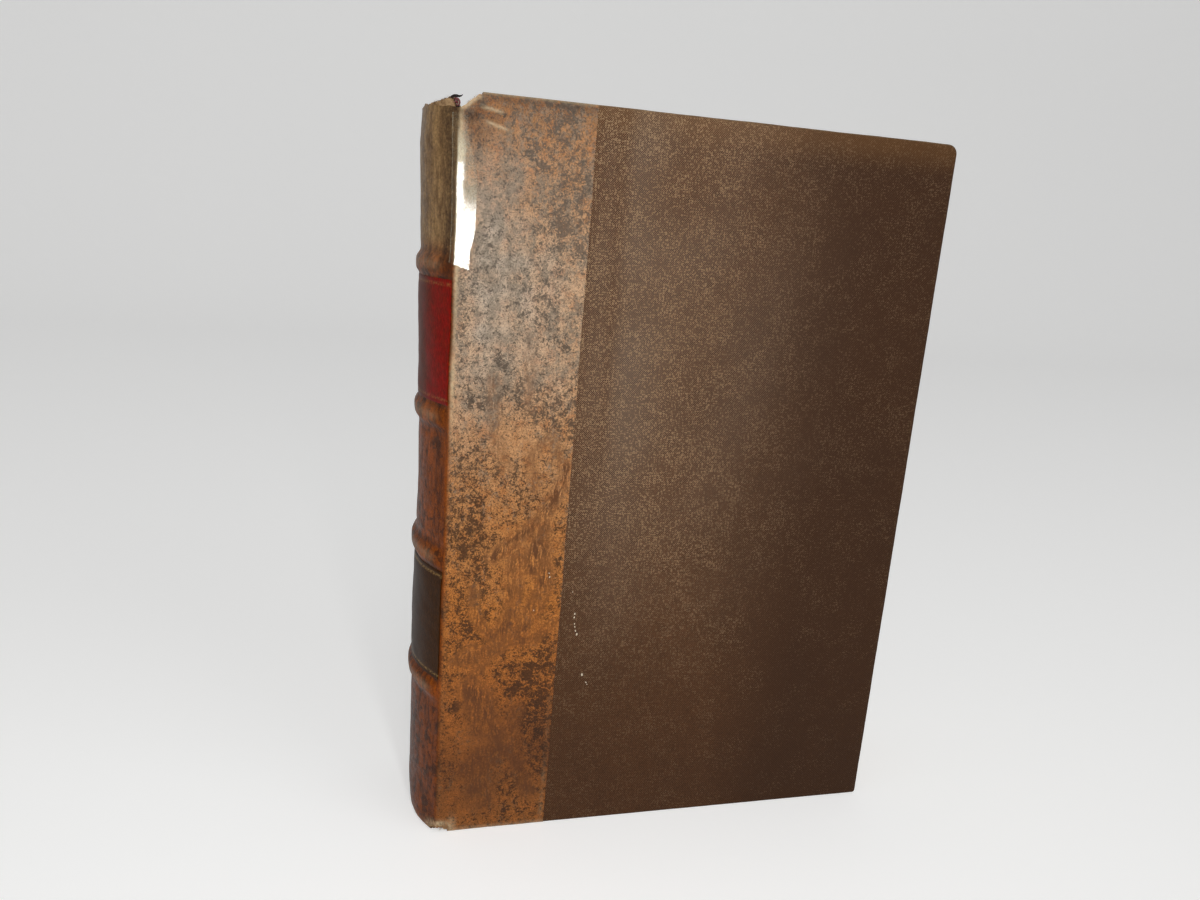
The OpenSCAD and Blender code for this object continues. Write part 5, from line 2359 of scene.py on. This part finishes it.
@dataclass
class Studio:
    """The floor, the backdrop, the lamps and the camera."""

    book: Measures
    eye: tuple[float, float, float] = (-23.96, -253.82, 192.36)
    right: tuple[float, float, float] = (0.966906, -0.244119, 0.074153)
    up: tuple[float, float, float] = (-0.011279, 0.249461, 0.968319)
    focal_px: float = 901.0
    image_w: float = 1200.0
    sensor: float = 36.0
    air: float = 0.32
    floor_glow: float = 0.34

    def camera(self) -> None:
        """Places the camera at the photograph's viewpoint."""
        data = bpy.data.cameras.new("camera")
        data.sensor_width = self.sensor
        data.lens = self.focal_px / self.image_w * self.sensor
        data.clip_start = 0.01
        eye = bpy.data.objects.new("camera", data)
        right, up = Vector(self.right), Vector(self.up)
        turned = Matrix((right, up, right.cross(up))).transposed().to_4x4()
        turned.translation = self.book.at(*self.eye)
        eye.matrix_world = turned
        bpy.context.scene.collection.objects.link(eye)
        bpy.context.scene.camera = eye

    def floor(self) -> None:
        """Lays a pale floor that turns up into a white backdrop."""
        made, nodes = blank_material("studio_paper")
        matt = nodes.add("ShaderNodeBsdfPrincipled", {"Base Color": (0.80, 0.80, 0.79, 1), "Roughness": 0.9,
                                                      "Specular IOR Level": 0.1})
        rays = nodes.add("ShaderNodeLightPath")
        seen = nodes.math("MAXIMUM", rays.outputs["Is Camera Ray"], rays.outputs["Is Glossy Ray"])
        seen = nodes.math("MAXIMUM", seen, rays.outputs["Is Transmission Ray"])
        glow = nodes.add("ShaderNodeEmission", {"Color": (1, 1, 1, 1),
                                                "Strength": nodes.math("MULTIPLY", seen, self.floor_glow)})
        both = nodes.add("ShaderNodeAddShader", {0: matt.outputs[0], 1: glow.outputs[0]})
        nodes.add("ShaderNodeOutputMaterial", {"Surface": both.outputs[0]})
        sweep = [(-3.0, 0.0)] + [(1.2 + 0.6 * math.sin(t), 0.6 - 0.6 * math.cos(t))
                                 for t in np.radians(np.linspace(0, 90, 13))] + [(1.8, 3.0)]
        places = [(x, y, z) for y, z in sweep for x in (-4.0, 4.0)]
        faces = [(2 * k, 2 * k + 1, 2 * k + 3, 2 * k + 2) for k in range(len(sweep) - 1)]
        floor = mesh_object("studio_floor", np.array(places), faces)
        floor.data.materials.append(made)

    def lamp(self, name: str, place: tuple[float, float, float], size: tuple[float, float], power: float,
             aim: Optional[tuple[float, float, float]] = None) -> None:
        """Hangs a soft lamp that faces the middle of the book.

        Args:
            name: The lamp's name.
            place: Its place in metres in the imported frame.
            size: Width and height of its face.
            power: Its power in watts.
            aim: The point that it faces, the middle of the book if left out.
        """
        data = bpy.data.lights.new(name, "AREA")
        data.shape = "RECTANGLE"
        data.size, data.size_y = size
        data.energy = power
        made = bpy.data.objects.new(name, data)
        made.location = place
        way = Vector(aim or (0.0, 0.0, self.book.cover_h * MM / 2)) - Vector(place)
        made.rotation_mode = "QUATERNION"
        made.rotation_quaternion = way.to_track_quat("-Z", "Y")
        bpy.context.scene.collection.objects.link(made)

    def build(self) -> None:
        """Sets up the whole studio."""
        world = bpy.data.worlds.new("studio_air")
        world.use_nodes = True
        world.node_tree.nodes.clear()
        nodes = Wiring(world.node_tree)
        air = nodes.add("ShaderNodeBackground", {"Color": (1, 1, 1, 1), "Strength": self.air})
        nodes.add("ShaderNodeOutputWorld", {"Surface": air.outputs[0]})
        bpy.context.scene.world = world
        bpy.context.scene.view_settings.view_transform = "Standard"
        self.floor()
        self.lamp("key", (-0.22, -0.75, 0.62), (0.35, 0.35), 3.0)
        self.lamp("fill", (1.1, -1.1, 0.9), (1.0, 1.0), 4.0)
        tape = tuple(self.book.at(2.2, 0, 196))
        self.lamp("near_eye", tuple(self.book.at(29, -258, 200)), (0.026, 0.085), 0.24, tape)
        self.camera()


class Book:
    """The whole book: measures, form, sub-assemblies and finishes."""

    def __init__(self) -> None:
        """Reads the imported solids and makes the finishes."""
        self.measures = Measures.from_frame()
        bands = tuple(sum(c.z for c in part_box(f"raised_band_{n}")) / 2 / MM for n in (1, 2, 3, 4))
        self.form = SpineForm(self.measures, bands)
        self.finishes = Finishes()

    def dress_nodes(self) -> None:
        """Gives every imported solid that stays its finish."""
        looks = {
            "sewing_cords": self.finishes.cord,
            "spine_lining": self.finishes.lining,
            "front_flyleaf": self.finishes.endpaper, "back_flyleaf": self.finishes.endpaper,
            "front_pastedown": self.finishes.endpaper, "back_pastedown": self.finishes.endpaper,
            "front_board": self.finishes.card, "back_board": self.finishes.card,
        }
        for number in (1, 2, 3, 4):
            looks[f"raised_band_{number}"] = self.finishes.card
        for name, finish in looks.items():
            self.finishes.dress(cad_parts[name], finish)

    def build(self) -> None:
        """Builds every sub-assembly and reports its pieces."""
        self.dress_nodes()
        pages = Pages(self.measures, self.finishes.pages).build()
        LOG.info("pages: %s, %d faces", pages.name, len(pages.data.polygons))
        for node, front_share in (("head_band", 0.93), ("tail_band", 1.0)):
            band = HeadBand(self.measures, node, self.finishes.red_silk, self.finishes.cream_silk,
                            front_share=front_share)
            for made in band.build():
                LOG.info("headband: %s, %d faces", made.name, len(made.data.polygons))
        for made in Leather(self.form).build():
            self.finishes.dress(made, self.finishes.leather)
            LOG.info("leather: %s, %d faces", made.name, len(made.data.polygons))
        for side in Side:
            made = ClothSide(self.form, side).build()
            self.finishes.dress(made, self.finishes.cloth)
            LOG.info("cloth: %s, %d faces", made.name, len(made.data.polygons))
        labels = (("title_label", "red_label", self.finishes.red_label),
                  ("volume_label", "dark_label", self.finishes.dark_label))
        for node, slot, finish in labels:
            made = SpineLabel(self.form, node, slot).build()
            self.finishes.dress(made, finish)
            LOG.info("label: %s", made.name)
        for made in TornHead(self.form, self.finishes).build():
            LOG.info("torn head: %s, %d faces", made.name, len(made.data.polygons))
        lint = Lint(self.form).build(self.finishes.lint)
        LOG.info("lint: %s, %d faces", lint.name, len(lint.data.polygons))
        for side in Side:
            fold = EndpaperFold(self.measures, side).build(self.finishes.endpaper)
            LOG.info("endpaper: %s", fold.name)
        tape = RepairTape(self.form).build()
        self.finishes.dress(tape, self.finishes.tape)
        LOG.info("tape: %s", tape.name)


def main() -> None:
    """Builds the studio and the book."""
    logging.basicConfig(level=logging.INFO, format="%(name)s %(message)s")
    book = Book()
    Studio(book.measures).build()
    book.build()


if __name__ == "__main__":
    main()
